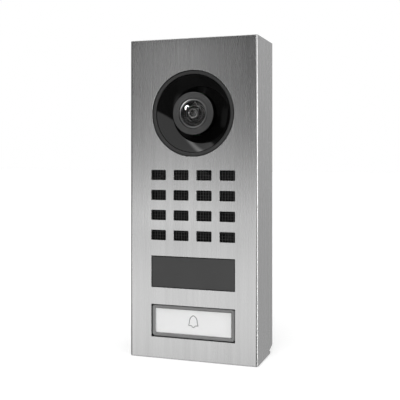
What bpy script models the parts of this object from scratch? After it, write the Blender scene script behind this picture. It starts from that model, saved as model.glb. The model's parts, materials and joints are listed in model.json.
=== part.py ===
"""Door intercom panel: a slim wall station with a camera, a speaker, a reader window and one call button.

Run with: blender --background --python part.py

The panel is built lying on its back, under one empty that stands it up. In that lying frame X is to the right, Y is up
the panel and Z is out of the wall. The empty turns it so that +Z is up and +Y goes into the wall, with the origin in
the middle of the wall plate's rear face. Depths are counted from the front face towards the wall.
"""

import math

import bmesh
import bpy
from mathutils import Matrix

MM = 0.001

# Overall sizes
PANEL_WIDTH = 65.5 * MM
PANEL_HEIGHT = 157.0 * MM
PANEL_DEPTH = 30.0 * MM

# Clearances
GAP = 0.3 * MM                  # between pieces that touch on the real panel
SLIP = 0.4 * MM                 # round what is slid into the housing
BOLT_PLAY = 0.3 * MM            # radial, round a screw's shank

# Stainless steel housing
SHEET = 1.5 * MM
BEND_RADIUS = 1.0 * MM
BOTTOM_WALL_DEPTH = 25.0 * MM   # how far back the bottom wall reaches
CORNER_CUT_DEPTH = 22.0 * MM    # where the slanted cut of the lower rear corner starts
CORNER_CUT_HEIGHT = 3.7 * MM    # how high that cut has risen at the wall
STUD_RADIUS = 2.1 * MM
STUD_FROM_TOP = 8.5 * MM
STUD_FROM_SIDE = 6.35 * MM

# Camera
CAMERA_FROM_TOP = 36.7 * MM
CAMERA_HOLE_RADIUS = 21.1 * MM
BEZEL_WIDTH = 1.65 * MM
BEZEL_RECESS = 0.25 * MM
BEZEL_FLANGE = 2.8 * MM         # how far the flange stands out past the ring
FLANGE_THICKNESS = 1.2 * MM
GASKET_THICKNESS = 0.9 * MM
DISH_RECESS = 0.9 * MM
DISH_DEPTH = 4.3 * MM
DISH_WALL = 1.2 * MM
BARREL_RADIUS = 10.45 * MM
BARREL_RECESS = 0.6 * MM
LENS_SEAT_RADIUS = 7.4 * MM
LENS_DEPTH = 2.0 * MM
IR_BOARD_DEPTH = 8.2 * MM
IR_BOARD_RADIUS = 21.0 * MM
IR_LED_COUNT = 6
IR_LED_RING_RADIUS = 16.2 * MM
IR_LED_RADIUS = 1.5 * MM

# Sound slots, speaker and microphone
SLOT_COLUMNS = 4
SLOT_ROWS = 4
SLOT_WIDTH = 7.7 * MM
SLOT_HEIGHT = 4.85 * MM
SLOT_PITCH_X = 11.78 * MM
SLOT_PITCH_Y = 9.86 * MM
SLOTS_FROM_TOP = 81.6 * MM      # to the middle of the grid
MESH_MARGIN = 2.0 * MM
MESH_THICKNESS = 0.4 * MM
SPEAKER_RADIUS = 16.3 * MM
SPEAKER_SHIFT_X = -3.0 * MM
SPEAKER_SHIFT_Y = 2.5 * MM
SPEAKER_DEPTH = 4.0 * MM
MAGNET_RADIUS = 8.0 * MM
MICROPHONE_RADIUS = 3.0 * MM
MICROPHONE_HEIGHT = 2.6 * MM

# Reader and sensor window
WINDOW_WIDTH = 43.05 * MM
WINDOW_HEIGHT = 15.5 * MM
WINDOW_FROM_BOTTOM = 42.55 * MM
WINDOW_RECESS = 0.35 * MM
WINDOW_LIP = 1.7 * MM

# Call button
BUTTON_WIDTH = 43.0 * MM        # the opening in the sheet
BUTTON_HEIGHT = 16.0 * MM
BUTTON_FROM_BOTTOM = 18.4 * MM
BUTTON_RECESS = 0.3 * MM
BUTTON_TRAVEL = 0.8 * MM
CAP_PLATE = 1.2 * MM
CAP_WALL = 1.0 * MM
LABEL_MARGIN_X = 1.75 * MM      # clear border beside the label, and above and below it
LABEL_MARGIN_Y = 1.9 * MM
LABEL_THICKNESS = 0.3 * MM
GUIDE_THICKNESS = 1.5 * MM
FRAME_BORDER = 2.3 * MM
FRAME_THICKNESS = 2.4 * MM
CARRIER_LIP = 1.3 * MM
CARRIER_THICKNESS = 1.5 * MM
SPRING_SPACING = 30.0 * MM
SPRING_RADIUS = 2.0 * MM
SPRING_WIRE = 0.4 * MM
SPRING_TURNS = 4
SWITCH_SIZE = 6.0 * MM
SWITCH_HEIGHT = 4.5 * MM
PLUNGER_RADIUS = 1.7 * MM
LABEL_LED_SPACING = 16.0 * MM

# Chassis, boards and rear cover
CHASSIS_DEPTH = 9.6 * MM
CHASSIS_PLATE = 1.6 * MM
CHASSIS_RIM = 1.2 * MM
MODULE_FROM_TOP = 3.5 * MM      # where the chassis ends, from the panel's top
MODULE_FROM_BOTTOM = 9.0 * MM
BOARD_DEPTH = 13.0 * MM
BOARD_THICKNESS = 1.4 * MM
BOARD_INSET = 7.45 * MM         # board's edge from the housing's inner side
COVER_DEPTH = 19.0 * MM
COVER_THICKNESS = 1.8 * MM
SEAL_THICKNESS = 0.8 * MM
TERMINAL_WIDTH = 24.0 * MM
TERMINAL_HEIGHT = 10.0 * MM
TERMINAL_LENGTH = 10.3 * MM
TERMINAL_WAYS = 6
SCREW_SHANK = 1.0 * MM
SCREW_HEAD = 1.9 * MM
SCREW_HEAD_HEIGHT = 1.1 * MM
STANDOFF_RADIUS = 1.9 * MM

# Wall plate
PLATE_THICKNESS = 2.5 * MM
PLATE_FROM_TOP = 2.5 * MM
PLATE_FROM_BOTTOM = 4.3 * MM
PLATE_RIM_DEPTH = 22.5 * MM     # where the plate's side rims start
CABLE_OPENING_WIDTH = 26.0 * MM
CABLE_OPENING_HEIGHT = 30.0 * MM
CABLE_OPENING_FROM_BOTTOM = 43.5 * MM
SCREW_SLOT_WIDTH = 5.0 * MM
SCREW_SLOT_LENGTH = 10.0 * MM
SCREW_SLOT_FROM_SIDE = 10.75 * MM
SCREW_SLOT_FROM_END = 20.5 * MM
HOOK_SPACING = 36.0 * MM
HOOK_WIDTH = 8.0 * MM
HOOK_DEPTH = 22.2 * MM
HOOK_THICKNESS = 1.5 * MM
HOOK_ARM = 2.0 * MM
HOOK_FROM_TOP = 8.5 * MM
HANGER_WEB = 1.0 * MM
HANGER_LIP = 4.3 * MM
PLATE_RIM = 1.2 * MM
LUG_WIDTH = 10.0 * MM
LUG_HEIGHT = 7.5 * MM
LUG_HALF_DEPTH = 3.0 * MM
SECURITY_DEPTH = 21.4 * MM
SECURITY_HEAD = 2.2 * MM
SECURITY_SHANK = 1.25 * MM

# Places that follow from the sizes above
INNER_HALF_WIDTH = PANEL_WIDTH / 2 - SHEET
INNER_HALF_HEIGHT = PANEL_HEIGHT / 2 - SHEET
TOP = PANEL_HEIGHT / 2
BOTTOM = -PANEL_HEIGHT / 2
CAMERA_Y = TOP - CAMERA_FROM_TOP
SLOTS_Y = TOP - SLOTS_FROM_TOP
WINDOW_Y = BOTTOM + WINDOW_FROM_BOTTOM
BUTTON_Y = BOTTOM + BUTTON_FROM_BOTTOM
LABEL_WIDTH = BUTTON_WIDTH - 2 * LABEL_MARGIN_X
LABEL_HEIGHT = BUTTON_HEIGHT - 2 * LABEL_MARGIN_Y
MODULE_TOP = TOP - MODULE_FROM_TOP
MODULE_BOTTOM = BOTTOM + MODULE_FROM_BOTTOM
MODULE_HALF_WIDTH = INNER_HALF_WIDTH - SLIP
SPEAKER_Y = SLOTS_Y + SPEAKER_SHIFT_Y
MICROPHONE_X = SLOT_PITCH_X * (SLOT_COLUMNS - 1) / 2
MICROPHONE_Y = SLOTS_Y - SLOT_PITCH_Y * (SLOT_ROWS - 1) / 2
BEHIND_SHEET = SHEET + GAP
HANGER_FROM_TOP = SHEET + GAP
BEZEL_RADIUS = CAMERA_HOLE_RADIUS - GAP
BEZEL_INNER = BEZEL_RADIUS - BEZEL_WIDTH
BEZEL_FLANGE_DEPTH = BEHIND_SHEET + GASKET_THICKNESS + GAP
DISH_RADIUS = BEZEL_INNER - GAP
DISH_HOLE = BARREL_RADIUS + GAP
CAP_DEPTH = BUTTON_RECESS
LABEL_DEPTH = CAP_DEPTH + CAP_PLATE + GAP
GUIDE_DEPTH = LABEL_DEPTH + LABEL_THICKNESS + GAP
CAP_HEIGHT = GUIDE_DEPTH + GUIDE_THICKNESS - CAP_DEPTH
CARRIER_DEPTH = max(BEHIND_SHEET + FRAME_THICKNESS, CAP_DEPTH + CAP_HEIGHT) + GAP
PLUNGER_DEPTH = CARRIER_DEPTH + CARRIER_THICKNESS + GAP
ON_BOARD = BOARD_DEPTH - GAP
BEHIND_BOARD = BOARD_DEPTH + BOARD_THICKNESS + GAP
BOARD_HALF_WIDTH = INNER_HALF_WIDTH - BOARD_INSET
BOARD_TOP = SLOTS_Y + SLOT_PITCH_Y * SLOT_ROWS / 2 - 2.6 * MM
BOARD_BOTTOM = MODULE_BOTTOM + 2.0 * MM
CHASSIS_BACK = CHASSIS_DEPTH + CHASSIS_PLATE
STUD_PLACES = [
    (side * (PANEL_WIDTH / 2 - STUD_FROM_SIDE), y)
    for side in (-1, 1)
    for y in (TOP - STUD_FROM_TOP, BUTTON_Y + BUTTON_HEIGHT / 2 + FRAME_BORDER + GAP + STUD_RADIUS)
]
BOARD_SCREW_PLACES = [
    (-BOARD_HALF_WIDTH + 3.0 * MM, BOARD_TOP - 3.0 * MM),
    (BOARD_HALF_WIDTH - 2.2 * MM, BOARD_BOTTOM + 2.6 * MM),
]
PLATE_TOP = TOP - PLATE_FROM_TOP
PLATE_BOTTOM = BOTTOM + PLATE_FROM_BOTTOM
PLATE_DEPTH = PANEL_DEPTH - PLATE_THICKNESS
PLATE_HALF_WIDTH = INNER_HALF_WIDTH - SLIP
TERMINAL_Y = BOTTOM + CABLE_OPENING_FROM_BOTTOM
CABLE_OPENING_Y = TERMINAL_Y

# Facets round a circle
FINE = 48
MEDIUM = 32
COARSE = 16


# ---------------------------------------------------------------- scene, materials and placing

def clear_scene():
    """Removes every object, mesh, curve and material."""
    for store in (bpy.data.objects, bpy.data.meshes, bpy.data.curves, bpy.data.materials):
        for item in list(store):
            store.remove(item)
    for group in list(bpy.data.collections):
        bpy.data.collections.remove(group)


def collection(name):
    """A new collection in the scene."""
    group = bpy.data.collections.new(name)
    bpy.context.scene.collection.children.link(group)
    return group


def material(name, colour, roughness, metallic=0.0, alpha=1.0):
    """A Principled BSDF of one linear colour."""
    made = bpy.data.materials.new(name)
    made.use_nodes = True
    shader = made.node_tree.nodes["Principled BSDF"]
    shader.inputs["Base Color"].default_value = (*colour, 1.0)
    shader.inputs["Roughness"].default_value = roughness
    shader.inputs["Metallic"].default_value = metallic
    shader.inputs["Alpha"].default_value = alpha
    made.diffuse_color = (*colour, alpha)
    return made


clear_scene()
PARTS = collection("door_intercom_panel")
CUTTERS = collection("cutters")

STEEL = material("brushed_stainless", (0.55, 0.55, 0.54), 0.35, 1.0)
GREY_PLASTIC = material("grey_abs", (0.09, 0.09, 0.09), 0.45)
BLACK_PLASTIC = material("black_abs", (0.012, 0.012, 0.012), 0.5)
GLOSS_BLACK = material("infra_red_acrylic", (0.004, 0.004, 0.004), 0.06)
DARK_WINDOW = material("dark_polycarbonate", (0.065, 0.065, 0.065), 0.4)
RUBBER = material("black_rubber", (0.02, 0.02, 0.02), 0.8)
GLASS = material("lens_glass", (0.8, 0.85, 0.9), 0.02, 0.0, 0.35)
CLEAR = material("clear_acrylic", (0.85, 0.87, 0.88), 0.08, 0.0, 0.4)
WHITE_CARD = material("white_card", (0.8, 0.8, 0.8), 0.6)
WHITE_PLASTIC = material("white_diffuser", (0.75, 0.75, 0.73), 0.4)
CIRCUIT = material("green_circuit_board", (0.02, 0.12, 0.05), 0.45)
TIN = material("tinned_steel", (0.6, 0.6, 0.58), 0.3, 1.0)
SPRING_STEEL = material("spring_steel", (0.5, 0.5, 0.5), 0.25, 1.0)
COPPER = material("copper", (0.75, 0.35, 0.2), 0.35, 1.0)
LED_CLEAR = material("led_epoxy", (0.7, 0.7, 0.75), 0.1)
CONE_PAPER = material("speaker_cone", (0.03, 0.03, 0.03), 0.7)
TERMINAL_GREEN = material("green_nylon", (0.03, 0.25, 0.09), 0.4)
RIBBON = material("polyimide_ribbon", (0.6, 0.3, 0.05), 0.35)


def stand():
    """The empty that stands the panel up: the lying frame's Z becomes -Y, and its Y becomes Z."""
    empty = bpy.data.objects.new("wall_origin", None)
    empty.rotation_euler = (math.pi / 2, 0.0, 0.0)
    PARTS.objects.link(empty)
    return empty


STAND = stand()


def level(depth):
    """The lying frame's Z of a plane that is depth behind the front face."""
    return PANEL_DEPTH - depth


def add(name, mesh, group=PARTS, finish=None, place=(0.0, 0.0, 0.0)):
    """An object for a mesh or a curve, under the standing empty."""
    made = bpy.data.objects.new(name, mesh)
    made.location = place
    made.parent = STAND
    if finish:
        mesh.materials.append(finish)
    group.objects.link(made)
    return made


def hide_cutter(cutter):
    """Marks an object as a cutter, which isn't part of the panel."""
    cutter.display_type = "WIRE"
    cutter.hide_render = True
    return cutter


def keep(tool, finish):
    """Makes a tool a part of the panel."""
    tool.display_type = "TEXTURED"
    tool.hide_render = False
    tool.data.materials.append(finish)
    CUTTERS.objects.unlink(tool)
    PARTS.objects.link(tool)


def boolean(body, tool, operation):
    """A Boolean modifier on body."""
    step = body.modifiers.new(tool.name, "BOOLEAN")
    step.operation = operation
    step.object = tool
    step.solver = "EXACT"


def cut(body, *tools):
    """Cuts each tool out of body."""
    for tool in tools:
        boolean(body, tool, "DIFFERENCE")
    return body


def join(body, *tools):
    """Joins each tool to body as one solid."""
    for tool in tools:
        boolean(body, tool, "UNION")
    return body


def smooth(body, angle=30.0):
    """Shades a round piece smooth, with its sharp edges kept."""
    body.data.shade_smooth()
    body.data.set_sharp_from_angle(angle=math.radians(angle))
    return body


# ---------------------------------------------------------------- shapes in the lying frame

def block_mesh(name, size, corner=0.0, round_front=False):
    """A box mesh with its middle at the origin. Its upright edges are rounded by corner, and with round_front the
    edges of its +Z side too."""
    shape = bmesh.new()
    bmesh.ops.create_cube(shape, size=1.0, matrix=Matrix.Diagonal((*size, 1.0)))
    if corner:
        rounded = [
            e for e in shape.edges
            if abs(e.verts[0].co.z - e.verts[1].co.z) > size[2] / 2
            or (round_front and all(v.co.z > 0 for v in e.verts))
        ]
        bmesh.ops.bevel(shape, geom=rounded, offset=corner, segments=3 if round_front else 2, profile=0.5,
                        affect="EDGES")
    mesh = bpy.data.meshes.new(name)
    shape.to_mesh(mesh)
    shape.free()
    return mesh


def block(name, x, y, width, height, depth, back, finish, corner=0.0, round_front=False, group=PARTS):
    """A box between two depths, with its middle at x, y."""
    mesh = block_mesh(name, (width, height, back - depth), corner, round_front)
    return add(name, mesh, group, finish, (x, y, level((depth + back) / 2)))


def block_cutter(name, x, y, width, height, depth, back, corner=0.0):
    """A box that cuts."""
    return hide_cutter(block(name, x, y, width, height, depth, back, None, corner, group=CUTTERS))


def round_mesh(name, radius, length, facets):
    """A cylinder mesh along Z with its middle at the origin."""
    shape = bmesh.new()
    bmesh.ops.create_cone(
        shape, cap_ends=True, segments=facets, radius1=radius, radius2=radius, depth=length)
    mesh = bpy.data.meshes.new(name)
    shape.to_mesh(mesh)
    shape.free()
    return mesh


def rod(name, x, y, radius, depth, back, finish, facets=MEDIUM, group=PARTS):
    """A cylinder between two depths."""
    made = add(name, round_mesh(name, radius, back - depth, facets), group, finish,
               (x, y, level((depth + back) / 2)))
    return smooth(made)


def rod_cutter(name, x, y, radius, depth, back, facets=MEDIUM):
    """A cylinder that cuts."""
    return hide_cutter(rod(name, x, y, radius, depth, back, None, facets, CUTTERS))


def boxes_cutter(name, boxes, depth, back):
    """One cutter of several separate boxes, each x, y, width, height, between two depths."""
    shape = bmesh.new()
    for x, y, width, height in boxes:
        place = Matrix.Translation((x, y, level((depth + back) / 2)))
        size = Matrix.Diagonal((width, height, back - depth, 1.0))
        bmesh.ops.create_cube(shape, size=1.0, matrix=place @ size)
    mesh = bpy.data.meshes.new(name)
    shape.to_mesh(mesh)
    shape.free()
    return hide_cutter(add(name, mesh, CUTTERS))


def turned(name, x, y, profile, finish, facets=FINE):
    """A profile of (radius, depth) points turned about the panel's Z. It starts at the front, on the axis or the bore,
    and runs out and back round the solid; a closed ring repeats its first point."""
    shape = bmesh.new()
    points = [shape.verts.new((radius, 0.0, level(depth))) for radius, depth in profile]
    for start, end in zip(points, points[1:]):
        shape.edges.new((start, end))
    mesh = bpy.data.meshes.new(name)
    shape.to_mesh(mesh)
    shape.free()
    made = add(name, mesh, PARTS, finish, (x, y, 0.0))
    screw = made.modifiers.new("turn", "SCREW")
    screw.axis = "Z"
    screw.angle = math.tau
    screw.steps = facets
    screw.render_steps = facets
    screw.use_merge_vertices = True
    screw.merge_threshold = 0.00001
    screw.use_smooth_shade = True
    weld = made.modifiers.new("close", "WELD")
    weld.merge_threshold = 0.00001
    return made


def ring(name, x, y, inner, outer, depth, back, finish, facets=FINE):
    """A flat ring between two depths."""
    profile = [(inner, depth), (outer, depth), (outer, back), (inner, back), (inner, depth)]
    return turned(name, x, y, profile, finish, facets)


def arc(centre_radius, centre_depth, radius, start, end, steps):
    """Points (radius, depth) on an arc, its angles in degrees from the outward direction towards the wall."""
    turns = [math.radians(start + (end - start) * i / steps) for i in range(steps + 1)]
    return [(centre_radius + radius * math.cos(t), centre_depth + radius * math.sin(t)) for t in turns]


def frame_piece(name, x, y, outer, inner, depth, back, finish, corner=0.0):
    """A rectangular ring, outer and inner each (width, height)."""
    body = block(name, x, y, *outer, depth, back, finish, corner)
    return cut(body, block_cutter(name + "_window", x, y, *inner, depth - MM, back + MM))


# ---------------------------------------------------------------- housing

def slot_places():
    """The middle of each sound slot."""
    across = [(i - (SLOT_COLUMNS - 1) / 2) * SLOT_PITCH_X for i in range(SLOT_COLUMNS)]
    down = [SLOTS_Y + (i - (SLOT_ROWS - 1) / 2) * SLOT_PITCH_Y for i in range(SLOT_ROWS)]
    return [(x, y) for y in down for x in across]


def side_prism(name, outline, x, width):
    """A tool with the same outline, of (depth, y) points, all along its width; its middle is at x."""
    shape = bmesh.new()
    corners = [shape.verts.new((x - width / 2, y, level(depth))) for depth, y in outline]
    side = shape.faces.new(corners)
    made = bmesh.ops.extrude_face_region(shape, geom=[side])
    moved = [v for v in made["geom"] if isinstance(v, bmesh.types.BMVert)]
    bmesh.ops.translate(shape, verts=moved, vec=(width, 0.0, 0.0))
    bmesh.ops.recalc_face_normals(shape, faces=shape.faces)
    mesh = bpy.data.meshes.new(name)
    shape.to_mesh(mesh)
    shape.free()
    return hide_cutter(add(name, mesh, CUTTERS))


def front_housing():
    """The stainless shell: front, sides, top and bottom of one sheet, open at the wall, with four studs inside."""
    back = PANEL_DEPTH - GAP
    body = block("front_housing", 0, 0, PANEL_WIDTH, PANEL_HEIGHT, 0, back, STEEL, BEND_RADIUS, True)
    hollow = block_cutter("housing_hollow", 0, 0, 2 * INNER_HALF_WIDTH, 2 * INNER_HALF_HEIGHT, SHEET, back + MM)
    slots = boxes_cutter(
        "sound_slots", [(x, y, SLOT_WIDTH, SLOT_HEIGHT) for x, y in slot_places()], -MM, SHEET + MM / 2)
    openings = boxes_cutter("face_openings", [
        (0, WINDOW_Y, WINDOW_WIDTH, WINDOW_HEIGHT),
        (0, BUTTON_Y, BUTTON_WIDTH, BUTTON_HEIGHT),
    ], -MM, SHEET + MM / 2)
    eye = rod_cutter("camera_hole", 0, CAMERA_Y, CAMERA_HOLE_RADIUS, -MM, SHEET + MM / 2, FINE)
    wall_top = BOTTOM + SHEET
    corner_cut = side_prism("rear_corner_cut", [
        (PANEL_DEPTH + MM, BOTTOM + CORNER_CUT_HEIGHT + 0.2 * MM),
        (CORNER_CUT_DEPTH, wall_top + GAP),
        (CORNER_CUT_DEPTH, wall_top),
        (BOTTOM_WALL_DEPTH, wall_top),
        (BOTTOM_WALL_DEPTH, BOTTOM - MM),
        (PANEL_DEPTH + MM, BOTTOM - MM),
    ], 0, PANEL_WIDTH + 2 * MM)
    cut(body, hollow, slots, openings, eye, corner_cut, security_hole("security_screw_hole", SECURITY_HEAD + GAP))
    for i, (x, y) in enumerate(STUD_PLACES, 1):
        stud = rod_cutter(f"stud_{i}", x, y, STUD_RADIUS, SHEET / 2, CHASSIS_DEPTH - GAP, COARSE)
        join(body, stud)
        cut(body, rod_cutter(f"stud_bore_{i}", x, y, SCREW_SHANK + BOLT_PLAY, SHEET + MM, CHASSIS_DEPTH, COARSE))


def security_hole(name, radius):
    """A bore up through the housing's bottom wall, for the security screw."""
    length = 4 * SHEET
    made = add(name, round_mesh(name, radius, length, COARSE), CUTTERS, None,
               (0, BOTTOM, level(SECURITY_DEPTH)))
    made.rotation_euler = (math.pi / 2, 0.0, 0.0)
    return hide_cutter(made)


def hanger_bracket():
    """The folded strip under the housing's top wall whose lip drops behind the wall plate's hooks."""
    web_top = TOP - HANGER_FROM_TOP
    lip_depth = HOOK_DEPTH + HOOK_THICKNESS + GAP
    lip_back = lip_depth + 1.2 * MM
    strip = side_prism("hanger_bracket", [
        (COVER_DEPTH, web_top),
        (COVER_DEPTH, web_top - HANGER_WEB),
        (lip_depth, web_top - HANGER_WEB),
        (lip_depth, web_top - HANGER_LIP),
        (lip_back, web_top - HANGER_LIP),
        (lip_back, web_top),
    ], 0, HOOK_SPACING + HOOK_WIDTH + 4 * MM)
    keep(strip, STEEL)


# ---------------------------------------------------------------- camera

def camera_bezel():
    """The grey ring in the camera hole, with a flange behind the sheet."""
    flange_back = BEZEL_FLANGE_DEPTH + FLANGE_THICKNESS
    turned("camera_bezel", 0, CAMERA_Y, [
        (BEZEL_INNER, BEZEL_RECESS),
        (BEZEL_RADIUS, BEZEL_RECESS),
        (BEZEL_RADIUS, BEZEL_FLANGE_DEPTH),
        (BEZEL_RADIUS + BEZEL_FLANGE, BEZEL_FLANGE_DEPTH),
        (BEZEL_RADIUS + BEZEL_FLANGE, flange_back),
        (BEZEL_INNER, flange_back),
        (BEZEL_INNER, BEZEL_RECESS),
    ], GREY_PLASTIC)


def camera_gasket():
    """The foam ring between the sheet and the bezel's flange."""
    ring("camera_gasket", 0, CAMERA_Y, CAMERA_HOLE_RADIUS + GAP, BEZEL_RADIUS + BEZEL_FLANGE, BEHIND_SHEET,
         BEHIND_SHEET + GASKET_THICKNESS, RUBBER, MEDIUM)


def ir_window():
    """The gloss black dish round the lens, with a rim held behind the bezel."""
    steps = 7
    dip = [
        (DISH_RADIUS + (DISH_HOLE - DISH_RADIUS) * t, DISH_RECESS + DISH_DEPTH * math.sin(t * math.pi / 2))
        for t in (i / steps for i in range(steps + 1))
    ]
    rim_depth = BEZEL_FLANGE_DEPTH + FLANGE_THICKNESS + GAP
    rim_back = rim_depth + FLANGE_THICKNESS
    under = [(radius, depth + DISH_WALL) for radius, depth in dip if depth + DISH_WALL > rim_back]
    profile = list(reversed(dip))
    profile += [
        (DISH_RADIUS, rim_depth),
        (DISH_RADIUS + BEZEL_FLANGE, rim_depth),
        (DISH_RADIUS + BEZEL_FLANGE, rim_back),
        (under[0][0] + DISH_WALL / 2, rim_back),
    ]
    profile += under + [profile[0]]
    turned("ir_window", 0, CAMERA_Y, profile, GLOSS_BLACK)


def lens_barrel():
    """The lens tube: a flat grey face, a seat for the front lens and a stepped bore down to the sensor."""
    seat = LENS_DEPTH + 2.6 * MM
    back = ON_BOARD
    turned("lens_barrel", 0, CAMERA_Y, [
        (LENS_SEAT_RADIUS + 0.3 * MM, BARREL_RECESS),
        (BARREL_RADIUS - 0.3 * MM, BARREL_RECESS),
        (BARREL_RADIUS, BARREL_RECESS + 0.3 * MM),
        (BARREL_RADIUS, back),
        (6.6 * MM, back),
        (6.6 * MM, seat + 5.0 * MM),
        (2.6 * MM, seat + 5.0 * MM),
        (2.6 * MM, seat + 1.2 * MM),
        (4.8 * MM, seat),
        (LENS_SEAT_RADIUS, seat),
        (LENS_SEAT_RADIUS, BARREL_RECESS + 0.6 * MM),
        (LENS_SEAT_RADIUS + 0.3 * MM, BARREL_RECESS),
    ], GREY_PLASTIC)


def lens_retainer():
    """The thin ring that holds the front lens in its seat."""
    outer = LENS_SEAT_RADIUS - GAP
    ring("lens_retainer", 0, CAMERA_Y, outer - 0.8 * MM, outer, LENS_DEPTH, LENS_DEPTH + 0.9 * MM, BLACK_PLASTIC)


def front_lens():
    """The domed front lens, a meniscus with a flat rim under the retainer."""
    dome = 5.9 * MM
    rim = LENS_SEAT_RADIUS - GAP
    rim_depth = LENS_DEPTH + 0.9 * MM + GAP
    rim_back = rim_depth + 0.9 * MM
    crown = 2.2 * MM
    steps = 6

    def bulge(radius, rise):
        return rim_depth - rise * (1 - (radius / dome) ** 2)

    outside = [(dome * i / steps, bulge(dome * i / steps, crown)) for i in range(steps + 1)]
    hollow = 4.6 * MM
    inside = [(hollow * i / steps, rim_back - 1.6 * MM * (1 - (i / steps) ** 2)) for i in range(steps, -1, -1)]
    profile = outside + [(rim, rim_depth), (rim, rim_back)] + inside
    turned("front_lens", 0, CAMERA_Y, profile, GLASS, MEDIUM)


def inner_lens():
    """The small second lens, down in the bore."""
    radius = 2.3 * MM
    depth = LENS_DEPTH + 4.3 * MM
    steps = 4
    dome = [(radius * i / steps, depth + 0.6 * MM * (i / steps) ** 2) for i in range(steps + 1)]
    turned("inner_lens", 0, CAMERA_Y, dome + [(radius, depth + 1.8 * MM), (0, depth + 1.8 * MM)], GLASS, COARSE)


def camera_boards():
    """The camera's board with its image sensor, and the ring board with the infra-red lights and a light sensor."""
    half = BOARD_HALF_WIDTH - 1.8 * MM
    board = block("camera_board", 0, CAMERA_Y, 2 * half, 2 * half - 4 * MM, BOARD_DEPTH,
                  BOARD_DEPTH + BOARD_THICKNESS, CIRCUIT)
    cut(board, rod_cutter("camera_board_hole", half - 2.5 * MM, CAMERA_Y + half - 4.5 * MM, 1.1 * MM,
                          BOARD_DEPTH - MM, BOARD_DEPTH + BOARD_THICKNESS + MM, COARSE))
    block("image_sensor", 0, CAMERA_Y, 8 * MM, 8 * MM, ON_BOARD - 1.1 * MM, ON_BOARD, BLACK_PLASTIC)
    ring("ir_board", 0, CAMERA_Y, BARREL_RADIUS + 2 * MM, IR_BOARD_RADIUS, IR_BOARD_DEPTH, IR_BOARD_DEPTH + MM,
         CIRCUIT, MEDIUM)
    back = IR_BOARD_DEPTH - GAP
    for i in range(IR_LED_COUNT):
        turn = math.tau * i / IR_LED_COUNT
        rod(f"ir_led_{i + 1}", IR_LED_RING_RADIUS * math.cos(turn), CAMERA_Y + IR_LED_RING_RADIUS * math.sin(turn),
            IR_LED_RADIUS, back - 1.3 * MM, back, LED_CLEAR, COARSE)
    block("light_sensor", 0, CAMERA_Y + IR_LED_RING_RADIUS, 2 * MM, 2 * MM, back - MM, back, LED_CLEAR)


# ---------------------------------------------------------------- sound

def acoustic_mesh():
    """The fine woven mesh behind the sound slots."""
    width = (SLOT_COLUMNS - 1) * SLOT_PITCH_X + SLOT_WIDTH + 2 * MESH_MARGIN
    height = (SLOT_ROWS - 1) * SLOT_PITCH_Y + SLOT_HEIGHT + 2 * MESH_MARGIN
    block("acoustic_mesh", 0, SLOTS_Y, width, height, BEHIND_SHEET, BEHIND_SHEET + MESH_THICKNESS, TIN)


def speaker():
    """The speaker: a foam ring, a basket, a paper cone and a magnet."""
    x, y = SPEAKER_SHIFT_X, SPEAKER_Y
    front = BEHIND_SHEET + MESH_THICKNESS + GAP
    ring("speaker_gasket", x, y, SPEAKER_RADIUS - 1.8 * MM, SPEAKER_RADIUS, front, SPEAKER_DEPTH - GAP, RUBBER, MEDIUM)
    floor = CHASSIS_DEPTH - 1.2 * MM
    turned("speaker_frame", x, y, [
        (SPEAKER_RADIUS - 1.8 * MM, SPEAKER_DEPTH),
        (SPEAKER_RADIUS, SPEAKER_DEPTH),
        (SPEAKER_RADIUS, SPEAKER_DEPTH + 1.2 * MM),
        (MAGNET_RADIUS + 2.0 * MM, floor + 1.2 * MM),
        (2.5 * MM, floor + 1.2 * MM),
        (2.5 * MM, floor),
        (MAGNET_RADIUS + 1.0 * MM, floor),
        (SPEAKER_RADIUS - 1.8 * MM, SPEAKER_DEPTH + 1.2 * MM),
        (SPEAKER_RADIUS - 1.8 * MM, SPEAKER_DEPTH),
    ], BLACK_PLASTIC, MEDIUM)
    rim = SPEAKER_RADIUS - 1.8 * MM - GAP
    wall = 0.5 * MM
    turned("speaker_cone", x, y, [
        (0, SPEAKER_DEPTH + 1.6 * MM),
        (4.0 * MM, SPEAKER_DEPTH + 2.4 * MM),
        (rim, SPEAKER_DEPTH + 0.2 * MM),
        (rim, SPEAKER_DEPTH + 0.2 * MM + wall),
        (4.0 * MM, SPEAKER_DEPTH + 2.4 * MM + wall),
        (0, SPEAKER_DEPTH + 1.6 * MM + wall),
    ], CONE_PAPER, MEDIUM)
    rod("speaker_magnet", x, y, MAGNET_RADIUS, floor + 1.2 * MM + GAP, ON_BOARD, TIN)


def microphone():
    """The microphone capsule in its rubber boot, behind the lowest slot on the right."""
    front = BEHIND_SHEET + MESH_THICKNESS + GAP
    inner = MICROPHONE_RADIUS + GAP
    outer = inner + 0.9 * MM
    floor = front + 2.2 * MM + MICROPHONE_HEIGHT + GAP
    turned("microphone_boot", MICROPHONE_X, MICROPHONE_Y, [
        (inner, front), (outer, front), (outer, CHASSIS_DEPTH - GAP), (0, CHASSIS_DEPTH - GAP), (0, floor),
        (inner, floor), (inner, front),
    ], RUBBER, COARSE)
    rod("microphone", MICROPHONE_X, MICROPHONE_Y, MICROPHONE_RADIUS, front + 2.2 * MM,
        front + 2.2 * MM + MICROPHONE_HEIGHT, TIN, COARSE)


# ---------------------------------------------------------------- reader window

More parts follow.
